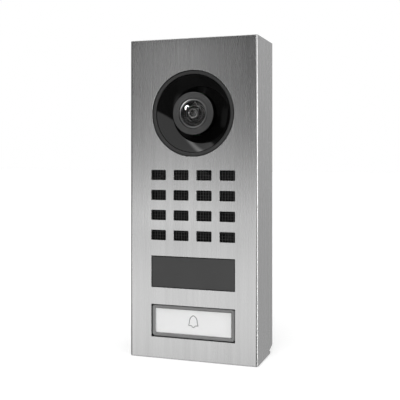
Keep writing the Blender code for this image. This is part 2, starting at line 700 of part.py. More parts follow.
def sensor_window():
    """The dark window, stepped so that it fills its opening and rests behind the sheet."""
    lip_back = BEHIND_SHEET + 1.2 * MM
    body = block("sensor_window", 0, WINDOW_Y, WINDOW_WIDTH + 2 * WINDOW_LIP, WINDOW_HEIGHT + 2 * WINDOW_LIP,
                 BEHIND_SHEET, lip_back, DARK_WINDOW)
    pane = hide_cutter(block("window_pane", 0, WINDOW_Y, WINDOW_WIDTH - 2 * GAP, WINDOW_HEIGHT - 2 * GAP,
                             WINDOW_RECESS, BEHIND_SHEET + MM / 2, None, group=CUTTERS))
    join(body, pane)
    coil_depth = lip_back + GAP
    coil_back = coil_depth + 0.8 * MM
    frame_piece("antenna_coil", 0, WINDOW_Y, (36 * MM, 10 * MM), (33 * MM, 7 * MM), coil_depth, coil_back, COPPER)
    block("proximity_sensor", 0, WINDOW_Y, 4 * MM, 3 * MM, coil_depth, coil_back, BLACK_PLASTIC)
    block("reader_board", 0, WINDOW_Y, 40 * MM, 12.5 * MM, coil_back + GAP, coil_back + GAP + MM, CIRCUIT)


# ---------------------------------------------------------------- call button

def button_frame():
    """The fixed frame behind the opening, which guides the button, and the rubber seal round its carrier."""
    outer = (BUTTON_WIDTH + 2 * FRAME_BORDER, BUTTON_HEIGHT + 2 * FRAME_BORDER)
    back = BEHIND_SHEET + FRAME_THICKNESS
    frame_piece("button_frame", 0, BUTTON_Y, outer, (BUTTON_WIDTH, BUTTON_HEIGHT), BEHIND_SHEET, back, BLACK_PLASTIC)
    inner = (BUTTON_WIDTH + 2 * CARRIER_LIP + 2 * GAP, BUTTON_HEIGHT + 2 * CARRIER_LIP + 2 * GAP)
    frame_piece("button_seal", 0, BUTTON_Y, outer, inner, back + GAP, back + GAP + 2.2 * MM, RUBBER)


def button_stack():
    """What moves when the button is pressed: clear cap, name label, light guide and carrier."""
    width = BUTTON_WIDTH - 2 * GAP
    height = BUTTON_HEIGHT - 2 * GAP
    cap = block("button_cap", 0, BUTTON_Y, width, height, CAP_DEPTH, CAP_DEPTH + CAP_HEIGHT, CLEAR, 0.3 * MM)
    cut(cap, block_cutter("cap_pocket", 0, BUTTON_Y, width - 2 * CAP_WALL, height - 2 * CAP_WALL,
                          CAP_DEPTH + CAP_PLATE, CAP_DEPTH + CAP_HEIGHT + MM))
    block("name_label", 0, BUTTON_Y, LABEL_WIDTH, LABEL_HEIGHT, LABEL_DEPTH, LABEL_DEPTH + LABEL_THICKNESS,
          WHITE_CARD)
    block("light_guide", 0, BUTTON_Y, LABEL_WIDTH, LABEL_HEIGHT, GUIDE_DEPTH, GUIDE_DEPTH + GUIDE_THICKNESS,
          WHITE_PLASTIC)
    back = CARRIER_DEPTH + CARRIER_THICKNESS
    carrier = block("button_carrier", 0, BUTTON_Y, BUTTON_WIDTH + 2 * CARRIER_LIP, BUTTON_HEIGHT + 2 * CARRIER_LIP,
                    CARRIER_DEPTH, back, BLACK_PLASTIC)
    lights = [(side * LABEL_LED_SPACING / 2, BUTTON_Y, 5 * MM, 5 * MM) for side in (-1, 1)]
    cut(carrier, boxes_cutter("carrier_light_windows", lights, CARRIER_DEPTH - MM, back + MM))
    for side, word in ((-1, "left"), (1, "right")):
        post = rod_cutter(f"spring_post_{word}", side * SPRING_SPACING / 2, BUTTON_Y,
                          SPRING_RADIUS - SPRING_WIRE - GAP, back - MM / 2, back + 1.2 * MM, COARSE)
        join(carrier, post)


def return_springs():
    """The two springs that push the button back out: round wire on an open helix."""
    depth = PLUNGER_DEPTH + SPRING_WIRE / 2
    length = ON_BOARD - SPRING_WIRE / 2 - depth
    per_turn = 12
    count = SPRING_TURNS * per_turn
    for side, word in ((-1, "left"), (1, "right")):
        curve = bpy.data.curves.new(f"return_spring_{word}", "CURVE")
        curve.dimensions = "3D"
        curve.bevel_depth = SPRING_WIRE / 2
        curve.bevel_resolution = 1
        curve.use_fill_caps = True
        line = curve.splines.new("POLY")
        line.points.add(count)
        for i, point in enumerate(line.points):
            turn = math.tau * i / per_turn
            rise = i / count
            point.co = (SPRING_RADIUS * math.cos(turn), SPRING_RADIUS * math.sin(turn),
                        level(depth + length * rise), 1.0)
        add(f"return_spring_{word}", curve, PARTS, SPRING_STEEL, (side * SPRING_SPACING / 2, BUTTON_Y, 0.0))


def push_switch():
    """The push switch: a body with a bore, and the plunger that the carrier presses."""
    body = block("switch_body", 0, BUTTON_Y, SWITCH_SIZE, SWITCH_SIZE, ON_BOARD - SWITCH_HEIGHT, ON_BOARD,
                 BLACK_PLASTIC)
    bore_back = ON_BOARD - 0.9 * MM
    cut(body, rod_cutter("switch_bore", 0, BUTTON_Y, PLUNGER_RADIUS + GAP, 0, bore_back, COARSE))
    rod("switch_plunger", 0, BUTTON_Y, PLUNGER_RADIUS, PLUNGER_DEPTH, bore_back - BUTTON_TRAVEL - GAP,
        WHITE_PLASTIC, COARSE)


def label_lights():
    """The two lights that shine through the carrier's windows on to the label."""
    front = ON_BOARD - 4.0 * MM
    radius = 1.5 * MM
    for side, word in ((-1, "left"), (1, "right")):
        turned(f"label_led_{word}", side * LABEL_LED_SPACING / 2, BUTTON_Y,
               [(0, front)] + arc(0, front + radius, radius, -60, 0, 3) + [(radius, ON_BOARD), (0, ON_BOARD)],
               LED_CLEAR, COARSE)


# ---------------------------------------------------------------- chassis, boards, rear cover

def standoff_cutters():
    """The posts that the main board is screwed to."""
    return [rod_cutter(f"standoff_{i}", x, y, STANDOFF_RADIUS, CHASSIS_BACK - MM, ON_BOARD, COARSE)
            for i, (x, y) in enumerate(BOARD_SCREW_PLACES, 1)]


def inner_chassis():
    """The black tray that carries everything behind the sheet: a plate with a rim towards the wall."""
    middle = (MODULE_TOP + MODULE_BOTTOM) / 2
    height = MODULE_TOP - MODULE_BOTTOM
    rim_back = COVER_DEPTH - 2 * GAP - SEAL_THICKNESS
    body = block("inner_chassis", 0, middle, 2 * MODULE_HALF_WIDTH, height, CHASSIS_DEPTH, rim_back, BLACK_PLASTIC,
                 MM)
    cut(body, block_cutter("chassis_hollow", 0, middle, 2 * (MODULE_HALF_WIDTH - CHASSIS_RIM),
                           height - 2 * CHASSIS_RIM, CHASSIS_BACK, rim_back + MM))
    through = (CHASSIS_DEPTH - MM, CHASSIS_BACK + MM)
    cut(body,
        rod_cutter("chassis_lens_hole", 0, CAMERA_Y, BARREL_RADIUS + SLIP, *through),
        rod_cutter("chassis_speaker_hole", SPEAKER_SHIFT_X, SPEAKER_Y, MAGNET_RADIUS + 3 * MM, *through),
        block_cutter("chassis_button_hole", 0, BUTTON_Y, SPRING_SPACING + 4 * SPRING_RADIUS, BUTTON_HEIGHT - 3 * MM,
                     *through))
    join(body, *standoff_cutters())
    places = STUD_PLACES + BOARD_SCREW_PLACES
    for i, (x, y) in enumerate(places, 1):
        cut(body, rod_cutter(f"chassis_bore_{i}", x, y, SCREW_SHANK + BOLT_PLAY, CHASSIS_DEPTH - MM, ON_BOARD + MM,
                             COARSE))


def screw(name, x, y, depth, length):
    """A pan head screw driven towards the front: its head starts at depth, its shank reaches length ahead."""
    back = depth + SCREW_HEAD_HEIGHT
    body = turned(name, x, y, [
        (0, depth - length),
        (SCREW_SHANK, depth - length),
        (SCREW_SHANK, depth),
        (SCREW_HEAD, depth),
        (SCREW_HEAD, back - 0.3 * MM),
        (SCREW_HEAD - 0.4 * MM, back),
        (0, back),
    ], TIN, COARSE)
    drive = 0.7 * MM
    cut(body, block_cutter(name + "_slot_a", x, y, 2.2 * MM, drive / 1.4, back - 0.5 * MM, back + MM),
        block_cutter(name + "_slot_b", x, y, drive / 1.4, 2.2 * MM, back - 0.5 * MM, back + MM))


def screws():
    """Four screws hold the chassis to the housing's studs, and two the main board to the chassis."""
    for i, (x, y) in enumerate(STUD_PLACES, 1):
        screw(f"chassis_screw_{i}", x, y, CHASSIS_BACK + GAP, 5.5 * MM)
    for i, (x, y) in enumerate(BOARD_SCREW_PLACES, 1):
        screw(f"board_screw_{i}", x, y, BEHIND_BOARD, 4.5 * MM)


def main_board():
    """The main board and what stands on its rear side."""
    middle = (BOARD_TOP + BOARD_BOTTOM) / 2
    board = block("main_board", 0, middle, 2 * BOARD_HALF_WIDTH, BOARD_TOP - BOARD_BOTTOM, BOARD_DEPTH,
                  BOARD_DEPTH + BOARD_THICKNESS, CIRCUIT)
    for i, (x, y) in enumerate(BOARD_SCREW_PLACES, 1):
        cut(board, rod_cutter(f"board_bore_{i}", x, y, SCREW_SHANK + BOLT_PLAY, BOARD_DEPTH - MM,
                              BOARD_DEPTH + BOARD_THICKNESS + MM, COARSE))
    block("processor_shield", 8 * MM, SLOTS_Y + 2 * MM, 20 * MM, 18 * MM, BEHIND_BOARD, BEHIND_BOARD + 2 * MM, TIN)
    block("network_transformer", -11 * MM, TERMINAL_Y + 16 * MM, 13 * MM, 9 * MM, BEHIND_BOARD,
          BEHIND_BOARD + 3.4 * MM, BLACK_PLASTIC)
    rod("capacitor", 14 * MM, TERMINAL_Y + 14.5 * MM, 3.4 * MM, BEHIND_BOARD, BEHIND_BOARD + 3.8 * MM, TIN, COARSE)


def terminal_block():
    """The wire terminals on the main board, which reach out through the rear cover."""
    back = BEHIND_BOARD + TERMINAL_LENGTH
    body = block("terminal_block", 0, TERMINAL_Y, TERMINAL_WIDTH, TERMINAL_HEIGHT, BEHIND_BOARD, back, TERMINAL_GREEN)
    pitch = TERMINAL_WIDTH / TERMINAL_WAYS
    places = [(i - (TERMINAL_WAYS - 1) / 2) * pitch for i in range(TERMINAL_WAYS)]
    wires = [(x, TERMINAL_Y - 1.8 * MM, 2.2 * MM, 2.6 * MM) for x in places]
    levers = [(x, TERMINAL_Y + 2.6 * MM, 1.2 * MM, 2.0 * MM) for x in places]
    cut(body, boxes_cutter("wire_holes", wires, back - 6 * MM, back + MM),
        boxes_cutter("release_slots", levers, back - 1.5 * MM, back + MM))


def ribbon_cable():
    """The flat cable between the two boards: a strip that arches over the space between them."""
    low = BOARD_TOP - 5 * MM
    high = CAMERA_Y - BOARD_HALF_WIDTH + 8 * MM
    width = 10 * MM
    thickness = 0.3 * MM
    arch = 1.2 * MM
    steps = 8
    shape = bmesh.new()
    rows = []
    for i in range(steps + 1):
        t = i / steps
        y = low + (high - low) * t
        depth = BEHIND_BOARD + arch * (1 - math.cos(math.tau * t)) / 2
        rows.append([shape.verts.new((x, y, level(depth))) for x in (-width / 2, width / 2)])
    for near, far in zip(rows, rows[1:]):
        shape.faces.new((near[0], near[1], far[1], far[0]))
    bmesh.ops.recalc_face_normals(shape, faces=shape.faces)
    mesh = bpy.data.meshes.new("ribbon_cable")
    shape.to_mesh(mesh)
    shape.free()
    strip = add("ribbon_cable", mesh, PARTS, RIBBON)
    wall = strip.modifiers.new("thickness", "SOLIDIFY")
    wall.thickness = thickness
    wall.offset = -1.0


def rear_cover():
    """The cover over the boards, with an opening for the terminals, and its seal on the chassis rim."""
    middle = (MODULE_TOP + MODULE_BOTTOM) / 2
    size = (2 * MODULE_HALF_WIDTH, MODULE_TOP - MODULE_BOTTOM)
    cover = block("rear_cover", 0, middle, *size, COVER_DEPTH, COVER_DEPTH + COVER_THICKNESS, BLACK_PLASTIC, MM)
    cut(cover, block_cutter("terminal_opening", 0, TERMINAL_Y, TERMINAL_WIDTH + 2 * SLIP, TERMINAL_HEIGHT + 2 * SLIP,
                            COVER_DEPTH - MM, COVER_DEPTH + COVER_THICKNESS + MM))
    inner = (size[0] - 2 * CHASSIS_RIM, size[1] - 2 * CHASSIS_RIM)
    depth = COVER_DEPTH - GAP - SEAL_THICKNESS
    frame_piece("rear_seal", 0, middle, size, inner, depth, depth + SEAL_THICKNESS, RUBBER)


# ---------------------------------------------------------------- wall plate

def wall_plate():
    """The plate on the wall: side rims, two hooks at the top, a lug for the security screw, slots and an opening."""
    middle = (PLATE_TOP + PLATE_BOTTOM) / 2
    height = PLATE_TOP - PLATE_BOTTOM
    body = block("wall_plate", 0, middle, 2 * PLATE_HALF_WIDTH, height, PLATE_RIM_DEPTH, PANEL_DEPTH,
                 BLACK_PLASTIC, MM)
    hook_foot = TOP - HOOK_FROM_TOP
    bare_top = height / 2 + MM
    cut(body,
        block_cutter("between_rims", 0, middle, 2 * (PLATE_HALF_WIDTH - PLATE_RIM), height + 2 * MM,
                     PLATE_RIM_DEPTH - MM, PLATE_DEPTH),
        block_cutter("above_rims", 0, middle + bare_top, 2 * PLATE_HALF_WIDTH + 2 * MM,
                     2 * (middle + bare_top - hook_foot + 2 * MM), PLATE_RIM_DEPTH - MM, PLATE_DEPTH))
    hook_top = TOP - HANGER_FROM_TOP - 2 * GAP - HANGER_WEB
    for side, word in ((-1, "left"), (1, "right")):
        join(body, side_prism(f"hook_{word}", [
            (HOOK_DEPTH, hook_foot),
            (PLATE_DEPTH + MM, hook_foot),
            (PLATE_DEPTH + MM, hook_foot + HOOK_ARM),
            (HOOK_DEPTH + HOOK_THICKNESS, hook_foot + HOOK_ARM),
            (HOOK_DEPTH + HOOK_THICKNESS, hook_top),
            (HOOK_DEPTH, hook_top),
        ], side * HOOK_SPACING / 2, HOOK_WIDTH))
    lug_top = BOTTOM + LUG_HEIGHT
    lug_foot = BOTTOM + SHEET + SLIP
    lug_front = SECURITY_DEPTH - LUG_HALF_DEPTH
    lug_back = SECURITY_DEPTH + LUG_HALF_DEPTH
    join(body, side_prism("security_lug", [
        (lug_front, lug_foot),
        (lug_back, lug_foot),
        (lug_back, PLATE_BOTTOM + GAP),
        (PLATE_DEPTH + MM, PLATE_BOTTOM + GAP),
        (PLATE_DEPTH + MM, lug_top),
        (lug_front, lug_top),
    ], 0, LUG_WIDTH))
    cut(body, boxes_cutter("screw_slots", [
        (side * (PANEL_WIDTH / 2 - SCREW_SLOT_FROM_SIDE), y, SCREW_SLOT_WIDTH, SCREW_SLOT_LENGTH)
        for side in (-1, 1)
        for y in (TOP - SCREW_SLOT_FROM_END, BOTTOM + SCREW_SLOT_FROM_END)
    ], PLATE_DEPTH - MM, PANEL_DEPTH + MM))
    cut(body, block_cutter("cable_opening", 0, CABLE_OPENING_Y, CABLE_OPENING_WIDTH, CABLE_OPENING_HEIGHT,
                           PLATE_DEPTH - MM, PANEL_DEPTH + MM, 2 * MM))
    bore = add("security_bore", round_mesh("security_bore", SECURITY_SHANK + BOLT_PLAY, 2 * LUG_HEIGHT, COARSE),
               CUTTERS, None, (0, lug_foot, level(SECURITY_DEPTH)))
    bore.rotation_euler = (math.pi / 2, 0.0, 0.0)
    cut(body, hide_cutter(bore))


def security_screw():
    """The screw that goes up through the bottom wall, its head level with the sheet's outside."""
    head = SHEET - 0.2 * MM
    shape = bmesh.new()
    profile = [
        (0.0, 0.0), (SECURITY_HEAD - 0.3 * MM, 0.0), (SECURITY_HEAD, 0.3 * MM), (SECURITY_HEAD, head),
        (SECURITY_SHANK, head), (SECURITY_SHANK, 7.0 * MM), (0.0, 7.0 * MM),
    ]
    points = [shape.verts.new((radius, 0.0, -up)) for radius, up in profile]
    for start, end in zip(points, points[1:]):
        shape.edges.new((start, end))
    mesh = bpy.data.meshes.new("security_screw")
    shape.to_mesh(mesh)
    shape.free()
    made = add("security_screw", mesh, PARTS, TIN, (0, BOTTOM + 0.1 * MM, level(SECURITY_DEPTH)))
    made.rotation_euler = (math.pi / 2, 0.0, 0.0)
    screw_turn = made.modifiers.new("turn", "SCREW")
    screw_turn.axis = "Z"
    screw_turn.angle = math.tau
    screw_turn.steps = COARSE
    screw_turn.render_steps = COARSE
    screw_turn.use_merge_vertices = True
    screw_turn.merge_threshold = 0.00001
    weld = made.modifiers.new("close", "WELD")
    weld.merge_threshold = 0.00001
    socket = add("security_socket", round_mesh("security_socket", 1.1 * MM, 1.6 * MM, 6), CUTTERS, None,
                 (0, BOTTOM + 0.1 * MM, level(SECURITY_DEPTH)))
    socket.rotation_euler = (math.pi / 2, 0.0, 0.0)
    cut(made, hide_cutter(socket))


# ---------------------------------------------------------------- assembly

front_housing()
hanger_bracket()
camera_bezel()
camera_gasket()
ir_window()
lens_barrel()
lens_retainer()
front_lens()
inner_lens()
camera_boards()
acoustic_mesh()
speaker()
microphone()
sensor_window()
button_frame()
button_stack()
return_springs()
push_switch()
label_lights()
inner_chassis()
main_board()
terminal_block()
ribbon_cable()
rear_cover()
screws()
wall_plate()
security_screw()
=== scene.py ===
"""Looks of a door intercom panel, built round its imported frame.

Laid out as an add-on: sizes and colours are properties, each piece or group of like pieces is an operator, and one
panel in the 3D view's sidebar lists them. Run as a script it makes everything in order.

Lengths are metres. X is to the right, Y into the wall and Z up. A depth is counted from the front face into the wall.
"""

import json
import math

import bmesh
import bpy
import numpy as np
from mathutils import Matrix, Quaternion, Vector


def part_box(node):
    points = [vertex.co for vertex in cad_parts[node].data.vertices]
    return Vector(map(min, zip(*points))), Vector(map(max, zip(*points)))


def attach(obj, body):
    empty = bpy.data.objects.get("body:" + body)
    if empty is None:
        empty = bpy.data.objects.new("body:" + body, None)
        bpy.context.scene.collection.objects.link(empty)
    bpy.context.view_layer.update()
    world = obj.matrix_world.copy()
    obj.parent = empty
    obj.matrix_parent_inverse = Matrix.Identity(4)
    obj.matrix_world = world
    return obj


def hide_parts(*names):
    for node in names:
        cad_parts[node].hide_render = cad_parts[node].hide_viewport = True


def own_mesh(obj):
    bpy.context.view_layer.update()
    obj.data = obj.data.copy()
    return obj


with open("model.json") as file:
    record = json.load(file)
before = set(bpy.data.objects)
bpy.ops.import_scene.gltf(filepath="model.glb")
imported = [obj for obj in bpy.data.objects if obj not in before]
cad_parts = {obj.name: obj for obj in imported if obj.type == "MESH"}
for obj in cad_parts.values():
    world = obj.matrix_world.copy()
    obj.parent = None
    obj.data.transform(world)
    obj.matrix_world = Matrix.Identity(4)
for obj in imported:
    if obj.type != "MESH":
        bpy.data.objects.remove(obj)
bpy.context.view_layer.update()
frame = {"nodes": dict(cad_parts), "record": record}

bl_info = {
    "name": "Door intercom panel",
    "version": (1, 0, 0),
    "blender": (4, 5, 0),
    "location": "View3D > Sidebar > Intercom",
    "description": "Finished pieces, materials and stage for a door intercom panel",
    "category": "Object",
}

MM = 0.001


def low(node):
    """The lowest corner of a frame node."""
    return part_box(node)[0]


def high(node):
    """The highest corner of a frame node."""
    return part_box(node)[1]


def middle(node):
    """The middle of a frame node."""
    return (low(node) + high(node)) / 2


def half_size(node):
    """Half the width and half the height of a frame node."""
    return (high(node).x - low(node).x) / 2, (high(node).z - low(node).z) / 2


FACE = low("front_housing").y
FLOOR = low("front_housing").z
EYE = middle("camera_bezel")
BUTTON = middle("button_cap")
WINDOW = middle("sensor_window")
MESH = middle("acoustic_mesh")


# ---------------------------------------------------------------- colour and nodes

def linear(code, alpha=None):
    """An sRGB hex colour as linear numbers."""
    parts = [int(code[i:i + 2], 16) / 255 for i in (1, 3, 5)]
    rgb = tuple(c / 12.92 if c <= 0.04045 else ((c + 0.055) / 1.055) ** 2.4 for c in parts)
    return rgb if alpha is None else (*rgb, alpha)


def node(tree, kind, inputs=None, **settings):
    """Adds a shader node. A value in inputs that is a socket is linked, and any other is set on the socket."""
    made = tree.nodes.new(kind)
    for key, value in settings.items():
        setattr(made, key, value)
    for key, value in (inputs or {}).items():
        if isinstance(value, bpy.types.NodeSocket):
            tree.links.new(value, made.inputs[key])
        else:
            made.inputs[key].default_value = value
    return made


def new_material(name, **shader_inputs):
    """A material with an empty tree but for its Principled BSDF and output. Returns it, its tree and the shader."""
    made = bpy.data.materials.new(name)
    made.use_nodes = True
    tree = made.node_tree
    tree.nodes.clear()
    shader = node(tree, "ShaderNodeBsdfPrincipled", shader_inputs)
    node(tree, "ShaderNodeOutputMaterial", {"Surface": shader.outputs["BSDF"]})
    return made, tree, shader


def place(tree, scale=(1, 1, 1)):
    """Object coordinates, scaled."""
    coordinates = node(tree, "ShaderNodeTexCoord").outputs["Object"]
    return node(tree, "ShaderNodeMapping", {"Vector": coordinates, "Scale": scale}).outputs["Vector"]


def noise(tree, vector, per_metre, detail=3.0, roughness=0.5):
    """A noise texture's value, with per_metre features in a metre."""
    return node(tree, "ShaderNodeTexNoise", {
        "Vector": vector, "Scale": per_metre, "Detail": detail, "Roughness": roughness,
    }).outputs["Fac"]


def spread(tree, value, lowest, highest, start=0.3, end=0.7):
    """A value between start and end, spread over lowest to highest."""
    return node(tree, "ShaderNodeMapRange", {
        "Value": value, "From Min": start, "From Max": end, "To Min": lowest, "To Max": highest,
    }).outputs["Result"]


def between(tree, amount, first, second):
    """A colour between two colours."""
    mix = node(tree, "ShaderNodeMix", {"Factor": amount}, data_type="RGBA")
    mix.inputs[6].default_value = first
    mix.inputs[7].default_value = second
    return mix.outputs[2]


def shade(colour, factor):
    """A colour made lighter or darker, with full alpha."""
    return (*(min(1.0, c * factor) for c in colour[:3]), 1.0)


def raise_surface(tree, shader, height, distance, strength=1.0):
    """Gives the shader a bump of height times distance."""
    bump = node(tree, "ShaderNodeBump", {"Height": height, "Distance": distance, "Strength": strength})
    tree.links.new(bump.outputs["Normal"], shader.inputs["Normal"])


# ---------------------------------------------------------------- materials

def moulded(name, colour, roughness, grain, depth, swing=0.12, ior=1.5, metallic=0.0, tint=0.12):
    """A moulded, pressed or plated surface: a fine grain in its height and gloss, its size and depth in millimetres,
    and a slow drift of its tone over about 12 mm. The colour is sRGB hex, or linear numbers."""
    if isinstance(colour, str):
        colour = linear(colour)
    made, tree, shader = new_material(name, **{"Metallic": metallic})
    if metallic < 1.0:
        shader.inputs["IOR"].default_value = ior
    at = place(tree)
    fine = noise(tree, at, 1 / (grain * MM))
    slow = noise(tree, at, 1 / (12 * MM), 2.0)
    tone = between(tree, spread(tree, slow, 0, 1), shade(colour, 1 - tint), shade(colour, 1 + tint))
    tree.links.new(tone, shader.inputs["Base Color"])
    tree.links.new(spread(tree, fine, roughness - swing / 2, roughness + swing / 2), shader.inputs["Roughness"])
    raise_surface(tree, shader, fine, depth * MM)
    return made


def brushed_stainless(props):
    """304 stainless sheet with a vertical satin brushing. Long fine scratches spread its reflections sideways and
    keep them narrow up and down, so the sheet shows a soft vertical fade with faint upright streaks."""
    made, tree, shader = new_material("brushed_stainless", **{"Metallic": 1.0, "Anisotropic": 0.88})
    scratch = 0.35 * MM          # real ones are near 0.05 mm; drawn coarser so that they show
    band = 2.6 * MM
    long = 0.012
    fine = noise(tree, place(tree, (1, 1, long)), 1 / scratch, 4.0, 0.65)
    broad = noise(tree, place(tree, (1, 1, long * 2)), 1 / band, 3.0, 0.6)
    both = node(tree, "ShaderNodeMath", {0: fine, 1: broad}, operation="ADD").outputs["Value"]
    steel = (*props.steel, 1.0)
    tone = between(tree, spread(tree, both, 0, 1, 0.7, 1.3), shade(steel, 0.93), shade(steel, 1.05))
    tree.links.new(tone, shader.inputs["Base Color"])
    tree.links.new(spread(tree, fine, 0.21, 0.29), shader.inputs["Roughness"])
    tangent = node(tree, "ShaderNodeTangent", direction_type="RADIAL", axis="Z")
    tree.links.new(tangent.outputs["Tangent"], shader.inputs["Tangent"])
    raise_surface(tree, shader, fine, 0.004 * MM, 0.5)
    return made


def clear_acrylic(name, roughness=0.03, ior=1.49, mirror=0.5):
    """A clear, polished solid. It lets light through to what lies under it, and mirrors the lights on its face."""
    made, tree, shader = new_material(name, **{
        "Base Color": (1, 1, 1, 1), "Transmission Weight": 1.0, "IOR": ior,
        "Specular IOR Level": mirror,
    })
    wipe = noise(tree, place(tree), 1 / (4 * MM), 4.0)
    tree.links.new(spread(tree, wipe, roughness * 0.6, roughness * 1.6), shader.inputs["Roughness"])
    pass_light = node(tree, "ShaderNodeBsdfTransparent", {"Color": linear("#ededed", 1.0)})
    path = node(tree, "ShaderNodeLightPath")
    mix = node(tree, "ShaderNodeMixShader", {
        0: path.outputs["Is Shadow Ray"], 1: shader.outputs["BSDF"], 2: pass_light.outputs["BSDF"],
    })
    output = next(n for n in tree.nodes if n.type == "OUTPUT_MATERIAL")
    tree.links.new(mix.outputs["Shader"], output.inputs["Surface"])
    return made


def circuit_board():
    """FR-4 board under green solder mask: glossy, with slightly raised copper tracks and a faint weave."""
    made, tree, shader = new_material("solder_mask", **{"IOR": 1.5, "Coat Weight": 0.3, "Coat Roughness": 0.1})
    track = 1.6 * MM
    at = place(tree)
    cells = node(tree, "ShaderNodeTexVoronoi", {"Vector": at, "Scale": 1 / track},
                 feature="F1", distance="MANHATTAN").outputs["Distance"]
    copper = spread(tree, cells, 0, 1, 0.42, 0.46)
    tone = between(tree, copper, linear("#0d3d22", 1.0), linear("#1d6b3c", 1.0))
    tree.links.new(tone, shader.inputs["Base Color"])
    weave = noise(tree, at, 1 / (0.4 * MM), 2.0)
    tree.links.new(spread(tree, weave, 0.28, 0.42), shader.inputs["Roughness"])
    raise_surface(tree, shader, copper, 0.03 * MM)
    return made


def all_materials(props):
    """Every material by a short name. Each comment says what the real material shows."""
    return {
        "steel": brushed_stainless(props),
        # ABS moulded in grey: an even satin skin with fine spark texture
        "grey_abs": moulded("grey_abs", (*props.ring, 1.0), 0.42, 0.22, 0.006, ior=1.53),
        # black ABS from a spark-eroded tool: matt, with a fine pebbled grain
        "black_abs": moulded("black_abs", "#0d0d0d", 0.5, 0.3, 0.02, ior=1.53),
        # infra-red acrylic, polished: black, mirror-like
        "ir_acrylic": moulded("infra_red_acrylic", "#050505", 0.06, 6, 0.0005, 0.03, 1.49),
        # polycarbonate pane with a satin front
        "dark_pc": moulded("smoked_polycarbonate", (*props.window, 1.0), 0.4, 0.18, 0.004, 0.08, 1.58, tint=0.05),
        "clear": clear_acrylic("clear_acrylic"),
        # acrylic left satin at its inner wall, which reads as grey
        "satin_acrylic": moulded("satin_acrylic", (*props.border, 1.0), 0.2, 0.3, 0.002, 0.06, 1.49, tint=0.06),
        # coated white card: very fine paper fibres, almost no gloss
        "card": moulded("coated_card", (*props.label, 1.0), 0.55, 0.25, 0.004, 0.1, 1.45, tint=0.02),
        # grey screen-printed ink on the card
        "ink": moulded("screen_ink", (*props.ink, 1.0), 0.5, 0.2, 0.003, tint=0.05),
        # optical glass with an anti-reflection coating, which dims what it mirrors: its index is below real glass's
        "glass": clear_acrylic("coated_lens_glass", 0.02, 1.2, 0.2),
        # blackened lens cell, semi-gloss, its index lowered to keep it dark
        "lens_black": moulded("blackened_brass", "#0b0b0b", 0.3, 0.3, 0.0001, 0.04, 1.15),
        # anodised ring with a satin shine, which catches the crescent of light
        "lens_grey": moulded("anodised_aluminium", "#707070", 0.33, 0.1, 0.0001, 0.03, metallic=1.0),
        # ring round the pupil, blackened and rubbed
        "pupil_grey": moulded("rubbed_brass", "#262626", 0.4, 0.1, 0.0001, 0.03),
        # the bezel, a darker grey ABS
        "bezel_abs": moulded("bezel_abs", shade(props.ring, 0.62), 0.42, 0.22, 0.006, ior=1.53),
        # woven steel wire, painted black
        "wire": moulded("painted_wire", "#3a3a3a", 0.35, 0.3, 0.006),
        # EPDM foam and rubber: matt with a soft grain
        "rubber": moulded("epdm_rubber", "#0d0d0d", 0.8, 0.4, 0.02, ior=1.52),
        # nickel-plated steel: bright, with faint turning marks
        "nickel": moulded("nickel_plated_steel", "#b9b6ae", 0.24, 0.5, 0.002, metallic=1.0),
        # the microphone's front, coloured near black: painted shade, so that the slot in front of it stays dark
        "painted_shade_black": moulded("microphone_painted_shade", "#1a1a1a", 0.6, 0.3, 0.03),
        "spring": moulded("spring_steel", "#8f9092", 0.28, 0.3, 0.001, metallic=1.0),
        "board": circuit_board(),
        "copper": moulded("bare_copper", "#c77a52", 0.32, 0.3, 0.002, metallic=1.0),
        # nylon 66, green as on wire terminals: waxy
        "nylon": moulded("nylon_66", "#2f7a4a", 0.38, 0.5, 0.004, ior=1.53),
        # pressed paper pulp
        "pulp": moulded("pressed_pulp", "#0f0f0f", 0.75, 0.35, 0.03, ior=1.45),
        "polyimide": moulded("polyimide_film", "#b26a1c", 0.25, 2, 0.002, ior=1.7),
        # epoxy of a light, water-clear to milky
        "epoxy": moulded("led_epoxy", "#dfe2e6", 0.12, 1, 0.001, ior=1.5),
        # milky polycarbonate of the light guide
        "milky": moulded("milky_polycarbonate", "#e6e6e2", 0.35, 0.5, 0.002, ior=1.58),
    }


MATERIALS = {}


# ---------------------------------------------------------------- surfaces

def rounded_rectangle(half_x, half_z, radius, centre, steps=8, tight=1.0, wall=None):
    """Returns a function of an array of insets that gives the outline moved in by each. A corner is its centre plus
    what is left of the radius times the unit vector at angle t; past the radius the corner is sharp and moves in.
    With tight below 1, an inset up to the radius moves the upper and lower sides by tight times as much, and the
    difference is made up again by an inset of wall."""
    wall = wall or 2 * radius
    quarter = np.linspace(0, math.pi / 2, steps + 1)
    angles = np.concatenate([quarter + k * math.pi / 2 for k in range(4)])
    middle_angles = np.repeat(np.arange(4), steps + 1) * math.pi / 2 + math.pi / 4
    side_x, side_z = np.sign(np.cos(middle_angles)), np.sign(np.sin(middle_angles))

    def outline(inset):
        inset = np.asarray(inset, float)[:, None]
        down = np.interp(inset, [0, radius, wall], [0, radius * tight, wall]) + np.maximum(inset - wall, 0)
        down = np.where(inset < 0, inset * tight, down)
        low_radius = radius * tight
        x = centre[0] + side_x * (half_x - np.maximum(inset, radius)) + np.maximum(radius - inset, 0) * np.cos(angles)
        z = (centre[1] + side_z * (half_z - np.maximum(down, low_radius))
             + np.maximum(low_radius - down, 0) * np.sin(angles))
        return x, z
    return outline


def circle(radius, centre, steps=160):
    """Returns a function of an array of insets that gives the circle of radius less each inset."""
    angles = np.linspace(0, math.tau, steps, endpoint=False)

    def outline(inset):
        left = radius - np.asarray(inset, float)[:, None]
        return centre[0] + left * np.cos(angles), centre[1] + left * np.sin(angles)
    return outline


